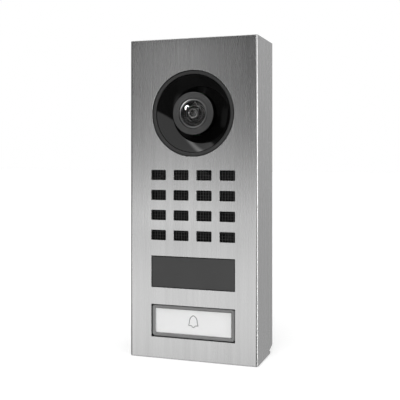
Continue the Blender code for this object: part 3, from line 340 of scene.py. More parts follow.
def grid_quads(rows, columns, close_rows=False, close_columns=False):
    """The quads of a grid of points, rows by columns, which may join up again in either direction."""
    row = np.arange(rows if close_rows else rows - 1)[:, None]
    column = np.arange(columns if close_columns else columns - 1)[None, :]
    over, beside = (row + 1) % rows, (column + 1) % columns
    return np.stack([row * columns + column, row * columns + beside, over * columns + beside,
                     over * columns + column], axis=-1).reshape(-1, 4)


def swept(outline, profile, closed):
    """Carries a profile of (inset, depth) round an outline. The grid is outline point by profile point: x and z come
    from the outline at the profile's inset, and y is the face plus the profile's depth. Returns points and quads."""
    inset, depth = np.array(profile, float).T
    x, z = outline(inset)
    y = np.broadcast_to(FACE + depth[:, None], x.shape)
    return np.stack([x, y, z], axis=-1).reshape(-1, 3), grid_quads(*x.shape, closed, True)


def arc(centre_inset, centre_depth, radius, start, end, steps=6):
    """Profile points on an arc: centre plus radius times the unit vector from angle start to end, in degrees. Angle
    0 points inward, to more inset, and 90 points deeper."""
    return [(centre_inset + radius * math.cos(t), centre_depth + radius * math.sin(t))
            for t in np.radians(np.linspace(start, end, steps + 1))]


def to_mesh(name, surfaces, fill_depths=(), sharp=30.0):
    """One mesh of several point and quad surfaces, doubles merged. Open edges that lie in a plane at one of
    fill_depths are filled with a flat face round their holes, and all normals are turned outwards."""
    shape = bmesh.new()
    for points, quads in surfaces:
        corners = [shape.verts.new(p) for p in points]
        for quad in quads:
            ring = [corners[i] for i in quad]
            shape.faces.new(ring)
    bmesh.ops.remove_doubles(shape, verts=shape.verts, dist=1e-7)
    bmesh.ops.dissolve_degenerate(shape, edges=shape.edges, dist=1e-8)
    for depth in fill_depths:
        rim = [e for e in shape.edges if e.is_boundary and all(abs(v.co.y - FACE - depth) < 1e-7 for v in e.verts)]
        bmesh.ops.triangle_fill(shape, use_beauty=True, edges=rim)
    bmesh.ops.recalc_face_normals(shape, faces=shape.faces)
    mesh = bpy.data.meshes.new(name)
    shape.to_mesh(mesh)
    shape.free()
    smooth(mesh, sharp)
    return mesh


def smooth(mesh, sharp=30.0):
    """Smooth shading, but flat on faces that lie square to an axis, and sharp where faces meet at more than sharp
    degrees."""
    mesh.shade_smooth()
    normals = np.empty(len(mesh.polygons) * 3, np.float32)
    mesh.polygons.foreach_get("normal", normals)
    square = np.abs(normals.reshape(-1, 3)).max(axis=1) > 0.99999
    mesh.set_sharp_from_angle(angle=math.radians(sharp))
    mesh.polygons.foreach_set("use_smooth", ~square)
    mesh.update()


def piece(name, mesh, finish, body, replaced=None):
    """Puts a mesh in the scene with its material, on its body, for the frame node that it stands for."""
    made = bpy.data.objects.new(name, mesh)
    bpy.context.scene.collection.objects.link(made)
    mesh.materials.clear()
    mesh.materials.append(MATERIALS[finish])
    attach(made, body)
    if replaced:
        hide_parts(replaced)
    return made


def lathe(name, profile, finish, replaced, sharp=35.0):
    """A piece of the camera: a closed profile of (radius, depth) turned about the camera's axis. Points on the axis
    close it."""
    largest = max(radius for radius, _ in profile)
    outline = circle(largest, (EYE.x, EYE.z))
    insets = [(largest - radius, depth) for radius, depth in profile]
    closed = profile[0] != profile[-1] and not (profile[0][0] == 0 and profile[-1][0] == 0)
    mesh = to_mesh(name, [swept(outline, insets, closed)], sharp=sharp)
    piece(name, mesh, finish, "panel", replaced)


def slab_profile(front, back, edge):
    """The profile of a plate between two depths: from inside the front face, out over the front edge, which is rounded
    by edge, and down the side to the back."""
    return arc(edge, front + edge, edge, -90, -180) + [(0.0, back)]


def slab(name, half_x, half_z, radius, centre, front, back, edge, finish, body, replaced):
    """A plate with rounded corners and edges."""
    outline = rounded_rectangle(half_x, half_z, radius, (centre.x, centre.z))
    mesh = to_mesh(name, [swept(outline, slab_profile(front, back, edge), False)], (front, back))
    return piece(name, mesh, finish, body, replaced)


# ---------------------------------------------------------------- properties

def length(name, description, default):
    """A length property in metres."""
    return bpy.props.FloatProperty(
        name=name, description=description, default=default, min=0.0, unit="LENGTH", subtype="DISTANCE", precision=5)


def angle(name, description, degrees):
    """An angle property, given in degrees."""
    return bpy.props.FloatProperty(name=name, description=description, default=math.radians(degrees), subtype="ANGLE")


def colour(name, description, code):
    """A colour property, given as sRGB hex."""
    return bpy.props.FloatVectorProperty(
        name=name, description=description, default=linear(code), min=0.0, max=1.0, size=3, subtype="COLOR")


class IntercomFinishes(bpy.types.PropertyGroup):
    """Colours of the visible finishes."""
    steel: colour("Steel", "Brushed stainless housing", "#cfcfcf")
    ring: colour("Ring", "Grey plastic of the camera ring and the lens barrel", "#363636")
    window: colour("Window", "Dark reader window", "#353535")
    border: colour("Button border", "Satin border of the call button", "#787878")
    label: colour("Label", "Name label card", "#eaeaea")
    ink: colour("Ink", "Bell printed on the label", "#7c7c7c")


class IntercomHousing(bpy.types.PropertyGroup):
    """Sizes of the steel housing."""
    sheet: length("Sheet", "Thickness of the steel", 1.5 * MM)
    bend: length("Bend", "Outside radius of the folded edges", 1.0 * MM)
    top_bend: length("Top bend", "How far down the folded edges at the top and bottom reach", 0.3 * MM)
    edge: length("Edge", "Rounding of the punched edges", 0.12 * MM)
    slot_corner: length("Slot corner", "Corner radius of the sound slots", 0.45 * MM)
    slot_width: length("Slot width", "Width of a sound slot", 7.7 * MM)
    slot_height: length("Slot height", "Height of a sound slot", 4.85 * MM)
    pitch_x: length("Slot pitch across", "Distance between slot columns", 11.78 * MM)
    pitch_z: length("Slot pitch down", "Distance between slot rows", 9.86 * MM)


class IntercomCamera(bpy.types.PropertyGroup):
    """Sizes of the camera's visible pieces."""
    hole: length("Hole", "Radius of the hole in the sheet", 21.1 * MM)
    ring_edge: length("Ring edge", "Rounding of the grey ring", 0.3 * MM)
    dish_steep: angle("Dish slope at the rim", "Slope of the black dish at its rim", 37)
    dish_shallow: angle("Dish slope at the barrel", "Slope of the black dish beside the barrel", 18)


class IntercomButton(bpy.types.PropertyGroup):
    """Sizes of the call button."""
    corner: length("Corner", "Corner radius of the clear cap", 1.7 * MM)
    border: length("Border", "Width of the cap's raised rim", 1.85 * MM)
    stroke: length("Stroke", "Line width of the bell", 0.42 * MM)


class IntercomStage(bpy.types.PropertyGroup):
    """Where the camera stands, and its lens."""
    lens: bpy.props.FloatProperty(name="Lens", description="Focal length in millimetres", default=66.2, min=10)
    turn: angle("Turn", "How far the camera looks to the left", 18.87)
    away: length("Away", "Distance of the camera in front of the face", 336.6 * MM)
    aside: length("Aside", "How far the camera stands to the right", 119.0 * MM)
    above: length("Above", "How far the camera stands above the middle", 21.2 * MM)
    shift: bpy.props.FloatProperty(name="Shift", description="Vertical shift of the picture", default=-0.1108)


# ---------------------------------------------------------------- operators

class IntercomOperator:
    """What the operators share."""
    bl_options = {"REGISTER", "UNDO"}


class INTERCOM_OT_materials(IntercomOperator, bpy.types.Operator):
    """Makes the materials and gives one to every frame node"""
    bl_idname = "intercom.materials"
    bl_label = "Materials"

    def execute(self, context):
        MATERIALS.update(all_materials(context.scene.intercom_finishes))
        by_slot = {
            "stainless_steel": "steel", "grey_plastic": "grey_abs", "gloss_black": "ir_acrylic",
            "dark_window": "dark_pc", "clear_acrylic": "clear", "label_card": "card", "diffuser": "milky",
            "lens_glass": "glass", "led_epoxy": "epoxy", "black_plastic": "black_abs", "rubber": "rubber",
            "mesh_wire": "wire", "plated_steel": "nickel", "spring_wire": "spring", "circuit_board": "board",
            "copper": "copper", "terminal_nylon": "nylon", "cone_paper": "pulp", "ribbon": "polyimide",
        }
        # the microphone gets the near-black painted shade in place of its plated steel
        by_node = {"microphone": "painted_shade_black"}
        for part in frame["record"]["subparts"]:
            slots = frame["nodes"][part["node"]].data.materials
            slots.clear()
            slots.append(MATERIALS[by_node.get(part["node"], by_slot[part["material_slot"]])])
        return {"FINISHED"}


class INTERCOM_OT_housing(IntercomOperator, bpy.types.Operator):
    """Folds the steel housing: face, bends, walls, punched openings and the cut lower rear corners"""
    bl_idname = "intercom.housing"
    bl_label = "Steel housing"

    def execute(self, context):
        sizes = context.scene.intercom_housing
        lowest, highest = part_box("front_housing")
        centre = (lowest + highest) / 2
        half_x, half_z = (highest.x - lowest.x) / 2, (highest.z - lowest.z) / 2
        back = highest.y - FACE
        sheet, bend, edge = sizes.sheet, sizes.bend, sizes.edge
        outer = rounded_rectangle(half_x, half_z, bend, (centre.x, centre.z), 6, sizes.top_bend / bend, sheet)
        inner_bend = 0.2 * MM
        walls = arc(bend, bend, bend, -90, -180, 8)
        walls += arc(edge, back - edge, edge, 180, 90, 3)
        walls += [(sheet, back), (sheet, sheet + inner_bend), (sheet + inner_bend, sheet)]
        surfaces = [swept(outer, walls, False)]

        rim = arc(-edge, edge, edge, -90, 0, 3) + [(0.0, sheet)]
        across = (np.arange(4) - 1.5) * sizes.pitch_x
        down = (np.arange(4) - 1.5) * sizes.pitch_z
        openings = [
            rounded_rectangle(sizes.slot_width / 2, sizes.slot_height / 2, sizes.slot_corner,
                              (MESH.x + x, MESH.z + z), 5)
            for x in across for z in down
        ]
        play = corner = 0.3 * MM
        pane_x, pane_z = 21.525 * MM, 7.75 * MM
        cap_x, cap_z = half_size("button_cap")
        openings += [
            rounded_rectangle(pane_x, pane_z, corner, (WINDOW.x, WINDOW.z), 4),
            rounded_rectangle(cap_x + play, cap_z + play, corner, (BUTTON.x, BUTTON.z), 4),
            circle(context.scene.intercom_camera.hole, (EYE.x, EYE.z), 160),
        ]
        surfaces += [swept(opening, rim, False) for opening in openings]
        mesh = to_mesh("steel_housing", surfaces, (0.0, sheet))
        made = piece("steel_housing", mesh, "steel", "panel", "front_housing")
        cut_rear_corners(made, centre.x, half_x)
        return {"FINISHED"}


def cut_prism(made, outline, name):
    """Cuts out of a piece the closed prism between two outlines of as many points each, and applies the cut."""
    shape = bmesh.new()
    ends = [[shape.verts.new(point) for point in end] for end in outline]
    for end in ends:
        shape.faces.new(end)
    first, second = ends
    count = len(first)
    for i in range(count):
        shape.faces.new([first[i], first[(i + 1) % count], second[(i + 1) % count], second[i]])
    bmesh.ops.recalc_face_normals(shape, faces=shape.faces)
    mesh = bpy.data.meshes.new(name)
    shape.to_mesh(mesh)
    shape.free()
    tool = bpy.data.objects.new(name, mesh)
    bpy.context.scene.collection.objects.link(tool)
    step = made.modifiers.new(name, "BOOLEAN")
    step.operation = "DIFFERENCE"
    step.object = tool
    step.solver = "EXACT"
    bpy.context.view_layer.update()
    evaluated = made.evaluated_get(bpy.context.evaluated_depsgraph_get())
    result = bpy.data.meshes.new_from_object(evaluated)
    made.modifiers.remove(step)
    old = made.data
    result.name = old.name
    made.data = result
    bpy.data.meshes.remove(old)
    bpy.data.objects.remove(tool)
    smooth(made.data)


def cut_rear_corners(made, centre_x, half_x):
    """Takes the slanted corners off the side walls, above the end of the bottom wall, and bores the screw hole."""
    wall = FLOOR + 1.5 * MM
    start, bottom_end = FACE + 22.0 * MM, FACE + 25.0 * MM
    past = 1.0 * MM
    rise = FLOOR + 3.9 * MM
    side = [(past, rise), (start, wall + 0.3 * MM), (start, wall), (bottom_end, wall), (bottom_end, FLOOR - past),
            (past, FLOOR - past)]
    reach = half_x + past
    cut_prism(made, [[(centre_x + way * reach, y, z) for y, z in side] for way in (-1, 1)], "corner_tool")

    screw, radius, steps = middle("security_screw"), 2.5 * MM, 48
    turn = np.linspace(0, math.tau, steps, endpoint=False)
    ring = [(screw.x + radius * math.cos(t), screw.y + radius * math.sin(t)) for t in turn]
    heights = (FLOOR - 2 * past, FLOOR + 2.5 * past)
    cut_prism(made, [[(x, y, z) for x, y in ring] for z in heights], "screw_tool")


class INTERCOM_OT_camera(IntercomOperator, bpy.types.Operator):
    """Turns the camera's ring, black dish, lens barrel, retainer and lenses"""
    bl_idname = "intercom.camera"
    bl_label = "Camera"

    def execute(self, context):
        sizes = context.scene.intercom_camera
        bezel_ring(sizes)
        dish(sizes)
        barrel()
        lenses()
        return {"FINISHED"}


def bezel_ring(sizes):
    """The grey ring: a flat face with rounded edges, and the flange behind the sheet."""
    outer, inner, e = 20.8 * MM, 19.15 * MM, sizes.ring_edge
    front, flange, back = 0.25 * MM, 3.0 * MM, 4.2 * MM
    wide = high("camera_bezel").x - EYE.x
    profile = [(outer - e + e * math.sin(t), front + e - e * math.cos(t)) for t in np.linspace(0, math.pi / 2, 7)]
    profile += [(outer, flange), (wide, flange), (wide, back), (inner, back)]
    profile += [(inner + e - e * math.cos(t), front + e - e * math.sin(t)) for t in np.linspace(0, math.pi / 2, 7)]
    lathe("camera_ring", profile, "bezel_abs", "camera_bezel")


def dish(sizes):
    """The gloss black dish: a cone whose slope falls evenly from the rim to the hole round the barrel, so that its
    depth is the sum of the tangents of the slope."""
    rim, hole, start = 18.85 * MM, 10.75 * MM, 0.9 * MM
    steep, shallow = sizes.dish_steep, sizes.dish_shallow
    wall, seat, seat_back = 1.2 * MM, 4.5 * MM, 5.7 * MM
    wide = high("ir_window").x - EYE.x
    radius = np.linspace(rim, hole, 48)
    slope = np.interp(radius, [hole, rim], [shallow, steep])
    fall = np.concatenate([[0], np.cumsum((np.tan(slope)[1:] + np.tan(slope)[:-1]) / 2 * -np.diff(radius))])
    dip = list(zip(radius, start + fall))
    deepest = high("ir_window").y - FACE
    under = [(r, min(d + wall, deepest)) for r, d in reversed(dip) if d + wall > seat_back]
    profile = dip[::-1] + [(rim, seat), (wide, seat), (wide, seat_back), (under[-1][0] + wall / 2, seat_back)]
    profile += under[::-1]
    lathe("camera_dish", profile, "ir_acrylic", "ir_window")


def millimetres(points):
    """Profile points given in millimetres, in metres."""
    return [(radius * MM, depth * MM) for radius, depth in points]


def barrel():
    """The lens barrel: a black tube, and the grey ring on its end whose face falls slightly to the middle."""
    lathe("barrel_tube", millimetres([
        (7.45, 1.05), (10.3, 1.05), (10.3, 12.7), (6.6, 12.7), (6.6, 5.0), (7.45, 5.0),
    ]), "ir_acrylic", "lens_barrel", 25)
    lathe("barrel_face", millimetres([
        (7.45, 1.0), (7.6, 0.85), (9.7, 0.7), (9.85, 0.6), (10.05, 0.6), (10.33, 0.72), (10.45, 0.95), (10.45, 1.04),
        (7.45, 1.04),
    ]), "grey_abs", "lens_barrel", 25)


def lens_curve(rim, rim_depth, rise, steps):
    """Profile points of a lens face from its middle to its rim. The depth at a radius is that of the rim, less the
    rise times one minus the square of the radius over the rim's."""
    return [(rim * a, rim_depth - rise * (1 - a * a)) for a in np.linspace(0, 1, steps)]


def lenses():
    """The retaining ring, the stepped black funnel with a bright baffle, the ring round the pupil on its pedestal,
    the inner lens, and the domed front lens."""
    inner, wide, front, fall, foot = 6.42 * MM, 0.98 * MM, 1.1 * MM, 0.6 * MM, 2.9 * MM
    top = [(inner + wide * math.sin(a), front + fall - fall * math.cos(a)) for a in np.linspace(0, math.pi / 2, 17)]
    lathe("retaining_ring", top + [(inner + wide, foot), (inner, foot)], "lens_grey", "lens_retainer",
          25)
    lathe("lens_cell", millimetres([
        (6.35, 2.2), (5.75, 2.35), (5.6, 2.6), (4.75, 2.85), (4.6, 3.1), (3.75, 3.35), (3.6, 3.6), (2.4, 3.8),
        (2.4, 4.9), (6.35, 4.9),
    ]), "lens_black", "lens_barrel", 12)
    lathe("baffle_ring", millimetres([(3.78, 3.4), (3.86, 3.2), (4.0, 3.08), (4.14, 3.16), (4.2, 3.4)]),
          "lens_grey", "lens_barrel", 60)
    lathe("pupil_pedestal", millimetres([(1.6, 1.45), (2.4, 1.45), (2.65, 4.9), (1.6, 4.9)]),
          "lens_black", "inner_lens", 25)
    lathe("pupil_ring", millimetres([(1.75, 1.45), (2.0, 1.2), (2.15, 1.15), (2.35, 1.2), (2.53, 1.43)]),
          "pupil_grey", "inner_lens", 25)

    small, depth, bulge = 1.6 * MM, 1.75 * MM, 0.4 * MM
    lathe("inner_glass", lens_curve(small, depth, bulge, 16) + [(small, depth + bulge), (0.0, depth + bulge)],
          "ir_acrylic", "inner_lens")
    dome, depth, rise, thick, step = 6.36 * MM, 2.0 * MM, 1.65 * MM, 0.45 * MM, 0.1 * MM
    inside = lens_curve(dome - thick, depth + step, rise + step - thick, 32)
    lathe("front_glass", lens_curve(dome, depth, rise, 32) + inside[::-1], "glass", "front_lens")


class INTERCOM_OT_mesh(IntercomOperator, bpy.types.Operator):
    """Weaves the wire mesh behind the sound slots"""
    bl_idname = "intercom.mesh"
    bl_label = "Acoustic mesh"

    def execute(self, context):
        lowest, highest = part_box("acoustic_mesh")
        middle_y = (lowest.y + highest.y) / 2
        pitch = 1.4 * MM
        radius = 0.14 * MM
        swing = 0.06 * MM
        count_x = int((highest.x - lowest.x) / pitch) - 1
        count_z = int((highest.z - lowest.z) / pitch) - 1
        surfaces = [
            wires(count_x, count_z, pitch, radius, swing, (MESH.x, middle_y, MESH.z), upright=True),
            wires(count_z, count_x, pitch, radius, -swing, (MESH.x, middle_y, MESH.z), upright=False),
        ]
        made = piece("woven_mesh", wire_mesh("woven_mesh", surfaces), "wire", "panel", "acoustic_mesh")
        made.data.shade_smooth()
        return {"FINISHED"}


def wires(count, crossings, pitch, radius, swing, centre, upright):
    """Parallel wires in one array. Wire i runs along t; its middle is at (i - (count - 1) / 2) pitches across, and
    its depth is swing times the cosine of pi times (crossing plus i), so that neighbours go over and under."""
    per_crossing, sides = 4, 4
    t = np.arange((crossings - 1) * per_crossing + 1) / per_crossing
    i = np.arange(count)[:, None, None]
    around = (np.arange(sides) + 0.5) * math.tau / sides
    along = (t - (crossings - 1) / 2)[None, :, None] * pitch
    deep = swing * np.cos(math.pi * (t[None, :, None] + i))
    beside = (i - (count - 1) / 2) * pitch + radius * np.cos(around)
    shape = np.broadcast_shapes(along.shape, deep.shape, beside.shape)
    along, beside = np.broadcast_to(along, shape), np.broadcast_to(beside, shape)
    deep = np.broadcast_to(deep + radius * np.sin(around), shape)
    x, z = (beside, along) if upright else (along, beside)
    points = np.stack([centre[0] + x, centre[1] + deep, centre[2] + z], axis=-1).reshape(-1, 3)
    rows, ring = len(t), np.arange(sides)
    base = np.arange(count)[:, None, None] * rows * sides
    quads = (base + grid_quads(rows, sides, False, True)).reshape(-1, 4)
    ends = np.concatenate([base[:, 0] + ring[::-1], base[:, 0] + (rows - 1) * sides + ring])
    return points, np.concatenate([quads, ends]), upright


def wire_mesh(name, surfaces):
    """One mesh of all the wires, with faces turned outwards."""
    points, faces, start = [], [], 0
    for wire_points, wire_faces, turned in surfaces:
        faces.append((wire_faces[:, ::-1] if turned else wire_faces) + start)
        points.append(wire_points)
        start += len(wire_points)
    mesh = bpy.data.meshes.new(name)
    mesh.from_pydata(np.concatenate(points).tolist(), [], np.concatenate(faces).tolist())
    mesh.update()
    return mesh


class INTERCOM_OT_window(IntercomOperator, bpy.types.Operator):
    """Makes the dark reader window with its softly rounded edge"""
    bl_idname = "intercom.window"
    bl_label = "Reader window"

    def execute(self, context):
        pane_x, pane_z = 21.225 * MM, 7.45 * MM
        lip_x, _ = half_size("sensor_window")
        front, lip, back = 0.35 * MM, 1.8 * MM, 3.0 * MM
        outline = rounded_rectangle(lip_x, lip_x - pane_x + pane_z, 0.3 * MM, (WINDOW.x, WINDOW.z))
        step = lip_x - pane_x
        edge = 0.15 * MM
        profile = arc(step + edge, front + edge, edge, -90, -180) + [(step, lip), (0.0, lip), (0.0, back)]
        mesh = to_mesh("window_pane", [swept(outline, profile, False)], (front, back))
        piece("window_pane", mesh, "dark_pc", "panel", "sensor_window")
        return {"FINISHED"}


class INTERCOM_OT_button(IntercomOperator, bpy.types.Operator):
    """Makes the call button: clear cap, satin border, white label and the bell"""
    bl_idname = "intercom.button"
    bl_label = "Call button"

    def execute(self, context):
        sizes = context.scene.intercom_button
        half_x, half_z = half_size("button_cap")
        front = low("button_cap").y - FACE
        plate_back = front + 1.2 * MM
        back = high("button_cap").y - FACE
        border, grown = sizes.border, 0.18 * MM          # the rim stands this much further out than the cap
        profile = [(0.0, back)] + [
            (border / 2 - border / 2 * math.cos(t), plate_back - (plate_back - front) * math.sin(t))
            for t in np.linspace(0, math.pi, 15)] + [(border, back)]
        outline = rounded_rectangle(half_x + grown, half_z + grown, sizes.corner, (BUTTON.x, BUTTON.z), 10)
        piece("cap_border", to_mesh("cap_border", [swept(outline, profile, True)], sharp=40), "satin_acrylic",
              "call_button", "button_cap")
        inner_x, inner_z = half_x + grown - border, half_z + grown - border
        corner, edge, sunk, cap_gap, card_gap = 0.3 * MM, 0.05 * MM, 0.45 * MM, 0.01 * MM, 0.02 * MM
        slab("cap_plate", inner_x - cap_gap, inner_z - cap_gap, corner, BUTTON, front + sunk, plate_back, edge,
             "clear", "call_button", "button_cap")
        label_front, label_back = low("name_label").y - FACE, high("name_label").y - FACE
        slab("label_card", inner_x - card_gap, inner_z - card_gap, corner, BUTTON, label_front, label_back, edge,
             "card", "call_button", "name_label")
        bell(sizes, label_front)
        return {"FINISHED"}


def bell(sizes, label_front):
    """A generic bell in outline. With v from 0 at the lip to 1 at the crown, its half width is a shoulder,
    (1 - v^5)^0.9, and a flare at the lip, (1 - v)^4. The lip dips in the middle as a clapper: a V with a rounded
    point, one minus the root of t squared and a little."""
    shoulder, flare, height, lip = 1.95 * MM, 0.5 * MM, 4.9 * MM, BUTTON.z - 1.6 * MM
    v = np.linspace(0, 1, 48)
    right = np.stack([shoulder * (1 - v ** 5) ** 0.9 + flare * (1 - v) ** 4, lip + v * height], axis=-1)
    reach, drop, point = 1.1 * MM, 1.1 * MM, 0.02
    t = np.linspace(-1, 1, 17)
    clapper = np.stack([reach * t, lip - drop * (1 - np.sqrt((t * t + point) / (1 + point)))], axis=-1)
    outline = np.concatenate([right, right[::-1][1:] * [-1, 1], clapper])
    mesh = to_mesh("bell_print", [stroke(outline, sizes.stroke, label_front)])
    piece("bell_print", mesh, "ink", "call_button", None)


class INTERCOM_OT_springs(IntercomOperator, bpy.types.Operator):
    """Makes the two springs behind the button, drawn at their length at rest"""
    bl_idname = "intercom.springs"
    bl_label = "Return springs"

    def execute(self, context):
        wire, turns, travel = 0.2 * MM, 5, 0.8 * MM
        for side in ("left", "right"):
            name = "return_spring_" + side
            start, end, centre = low(name), high(name), middle(name)
            mesh = to_mesh("push_spring", [coil(centre, start.y, end.y, (end.x - start.x) / 2, wire, turns)], sharp=80)
            made = piece("push_spring_" + side, mesh, "spring", "panel", name)
            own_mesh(made)
        return {"FINISHED"}


def coil(centre, front, back, outer, wire, turns):
    """A round wire on a helix along Y with closed ends. With s from 0 to 1 along it, the angle is s times the turns.
    The first and last turn rise by one thickness of the wire, and the others share the rest evenly. The wire's
    section lies in the plane of the radius and Y, and shrinks to a point at both ends, which closes it."""
    along, around = 40 * turns, 12
    s = np.concatenate([[0], np.linspace(0, 1, along), [1]])
    size = np.concatenate([[0], np.full(along, wire), [0]])[:, None]
    turn = math.tau * turns * s[:, None]
    rise = np.interp(s, [0, 1 / turns, 1 - 1 / turns, 1], [front + wire, front + 3 * wire, back - 3 * wire,
                                                           back - wire])[:, None]
    section = np.linspace(0, math.tau, around, endpoint=False)[None, :]
    radius = outer - wire + size * np.cos(section)
    points = np.stack([centre.x + radius * np.cos(turn), rise + size * np.sin(section),
                       centre.z + radius * np.sin(turn)], axis=-1).reshape(-1, 3)
    return points, grid_quads(along + 2, around, False, True)


def stroke(line, width, label_front):
    """A closed line drawn in ink: at each point the section is a thin box, width across the line's normal. It is
    0.02 mm thick and stands 0.01 mm off the label."""
    ahead = np.roll(line, -1, axis=0) - np.roll(line, 1, axis=0)
    ahead /= np.linalg.norm(ahead, axis=1)[:, None]
    normal = np.stack([ahead[:, 1], -ahead[:, 0]], axis=-1) * width / 2
    top, foot = label_front - 0.03 * MM, label_front - 0.01 * MM
    section = [(1, foot), (1, top), (-1, top), (-1, foot)]
    rows = [np.column_stack([BUTTON.x + line[:, 0] + side * normal[:, 0], np.full(len(line), FACE + depth),
                             line[:, 1] + side * normal[:, 1]]) for side, depth in section]
    return np.stack(rows, axis=1).reshape(-1, 3), grid_quads(len(line), len(section), True, True)


class INTERCOM_OT_screw(IntercomOperator, bpy.types.Operator):
    """Turns the security screw with its six-sided socket"""
    bl_idname = "intercom.screw"
    bl_label = "Security screw"

    def execute(self, context):
        lowest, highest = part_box("security_screw")
        centre = (lowest + highest) / 2
        head, shank = 2.2 * MM, 1.25 * MM
        thick = 1.3 * MM
        edge = 0.3 * MM
        socket, depth = 1.1 * MM, 0.8 * MM
        steps = 96
        turn = np.linspace(0, math.tau, steps, endpoint=False)
        flat = np.cos(math.pi / 6) / np.cos((turn + math.pi / 6) % (math.pi / 3) - math.pi / 6)
        rows = [(0.0, depth, 0), (socket, depth, 1), (socket, 0.0, 1)]
        rows += [(head - edge + edge * math.sin(a), edge - edge * math.cos(a), 0)
                 for a in np.linspace(0, math.pi / 2, 6)]
        rows += [(head, thick, 0), (shank, thick, 0), (shank, highest.z - lowest.z - 0.3 * MM, 0),
                 (shank - 0.3 * MM, highest.z - lowest.z, 0), (0.0, highest.z - lowest.z, 0)]
        points = np.concatenate([
            np.column_stack([centre.x + r * np.cos(turn) * (flat if six else 1),
                             centre.y + r * np.sin(turn) * (flat if six else 1), np.full(steps, lowest.z + up)])
            for r, up, six in rows])
        mesh = to_mesh("lock_screw", [(points, grid_quads(len(rows), steps, False, True))], sharp=35)
        piece("lock_screw", mesh, "nickel", "panel", "security_screw")
        return {"FINISHED"}


class INTERCOM_OT_stage(IntercomOperator, bpy.types.Operator):
    """Sets up the pale floor, the soft studio light and the camera"""
    bl_idname = "intercom.stage"
    bl_label = "Stage"

    def execute(self, context):
        floor()
        studio(context.scene)
        softboxes()
        camera(context.scene)
        return {"FINISHED"}


def floor():
    """A wide white table top just under the panel. It isn't seen in reflections, so that shiny surfaces keep the
    studio's dark below them."""
    half = 4.0
    mesh = bpy.data.meshes.new("table_top")
    level = FLOOR - 0.2 * MM
    mesh.from_pydata([(-half, -half, level), (half, -half, level), (half, half, level), (-half, half, level)], [],
                     [(0, 1, 2, 3)])
    made = bpy.data.objects.new("table_top", mesh)
    bpy.context.scene.collection.objects.link(made)
    # matt white laminate
    finish, _, _ = new_material("white_laminate", **{
        "Base Color": linear("#f2f2f2", 1.0), "Roughness": 0.9, "Specular IOR Level": 0.0,
        "Emission Color": linear("#ffffff", 1.0), "Emission Strength": 0.42,
    })
    mesh.materials.append(finish)
    made.visible_glossy = False


def heading(degrees, lift=0.0):
    """The unit vector at an angle to the right of straight ahead, where straight ahead is out of the wall, lifted
    by lift degrees."""
    turn, up = math.radians(degrees), math.radians(lift)
    return (math.sin(turn) * math.cos(up), -math.cos(turn) * math.cos(up), math.sin(up))


# The studio's light by direction. A reach is the angle to which a light is full, and the angle where it ends.
BRIGHTEST = 4.0
DARKEST = 0.07
OVERHEAD = 1.0
OVERHEAD_AXIS = (0.46, 0.07, 0.885)
OVERHEAD_REACH = (71, 75)
ZENITH_REACH = (47, 51)
# a brighter band across the overhead light, about 97 to 107 degrees from its axis, that draws the streak in the dish
STREAK = 2.5
STREAK_AXIS = (0.808, 0.484, 0.337)
STREAK_BACK = tuple(-part for part in STREAK_AXIS)
STREAK_REACH = (102.5, 107)
STREAK_BACK_REACH = (77.5, 83)
BEHIND = 0.35          # the overhead light ends this far behind the face, as the Y of a direction
# Each zone: where its middle is, how far it reaches to each side, and its brightness by elevation
ZONES = (
    (heading(-18), 26, 42, ((-32, 0.1), (-24, 0.45), (-17, 0.85), (-14, 1.1), (-9, 1.1), (-5, 0.86), (-2, 0.5),
                            (1, 0.25), (5, 0.1), (20, 0.07))),
    (heading(80), 8, 17, ((-40, 0.1), (-30, 3.4), (14, 3.4), (30, 0.5))),
    (heading(-128), 18, 32, ((-50, 0.1), (-30, 0.5), (30, 0.5), (45, 0.3))),
    (heading(100), 25, 45, ((-40, 0.1), (-25, 0.5), (25, 0.5), (45, 0.3))),
    (heading(165), 42, 60, ((-50, 0.1), (-35, 0.49), (35, 0.49), (50, 0.3))),
)


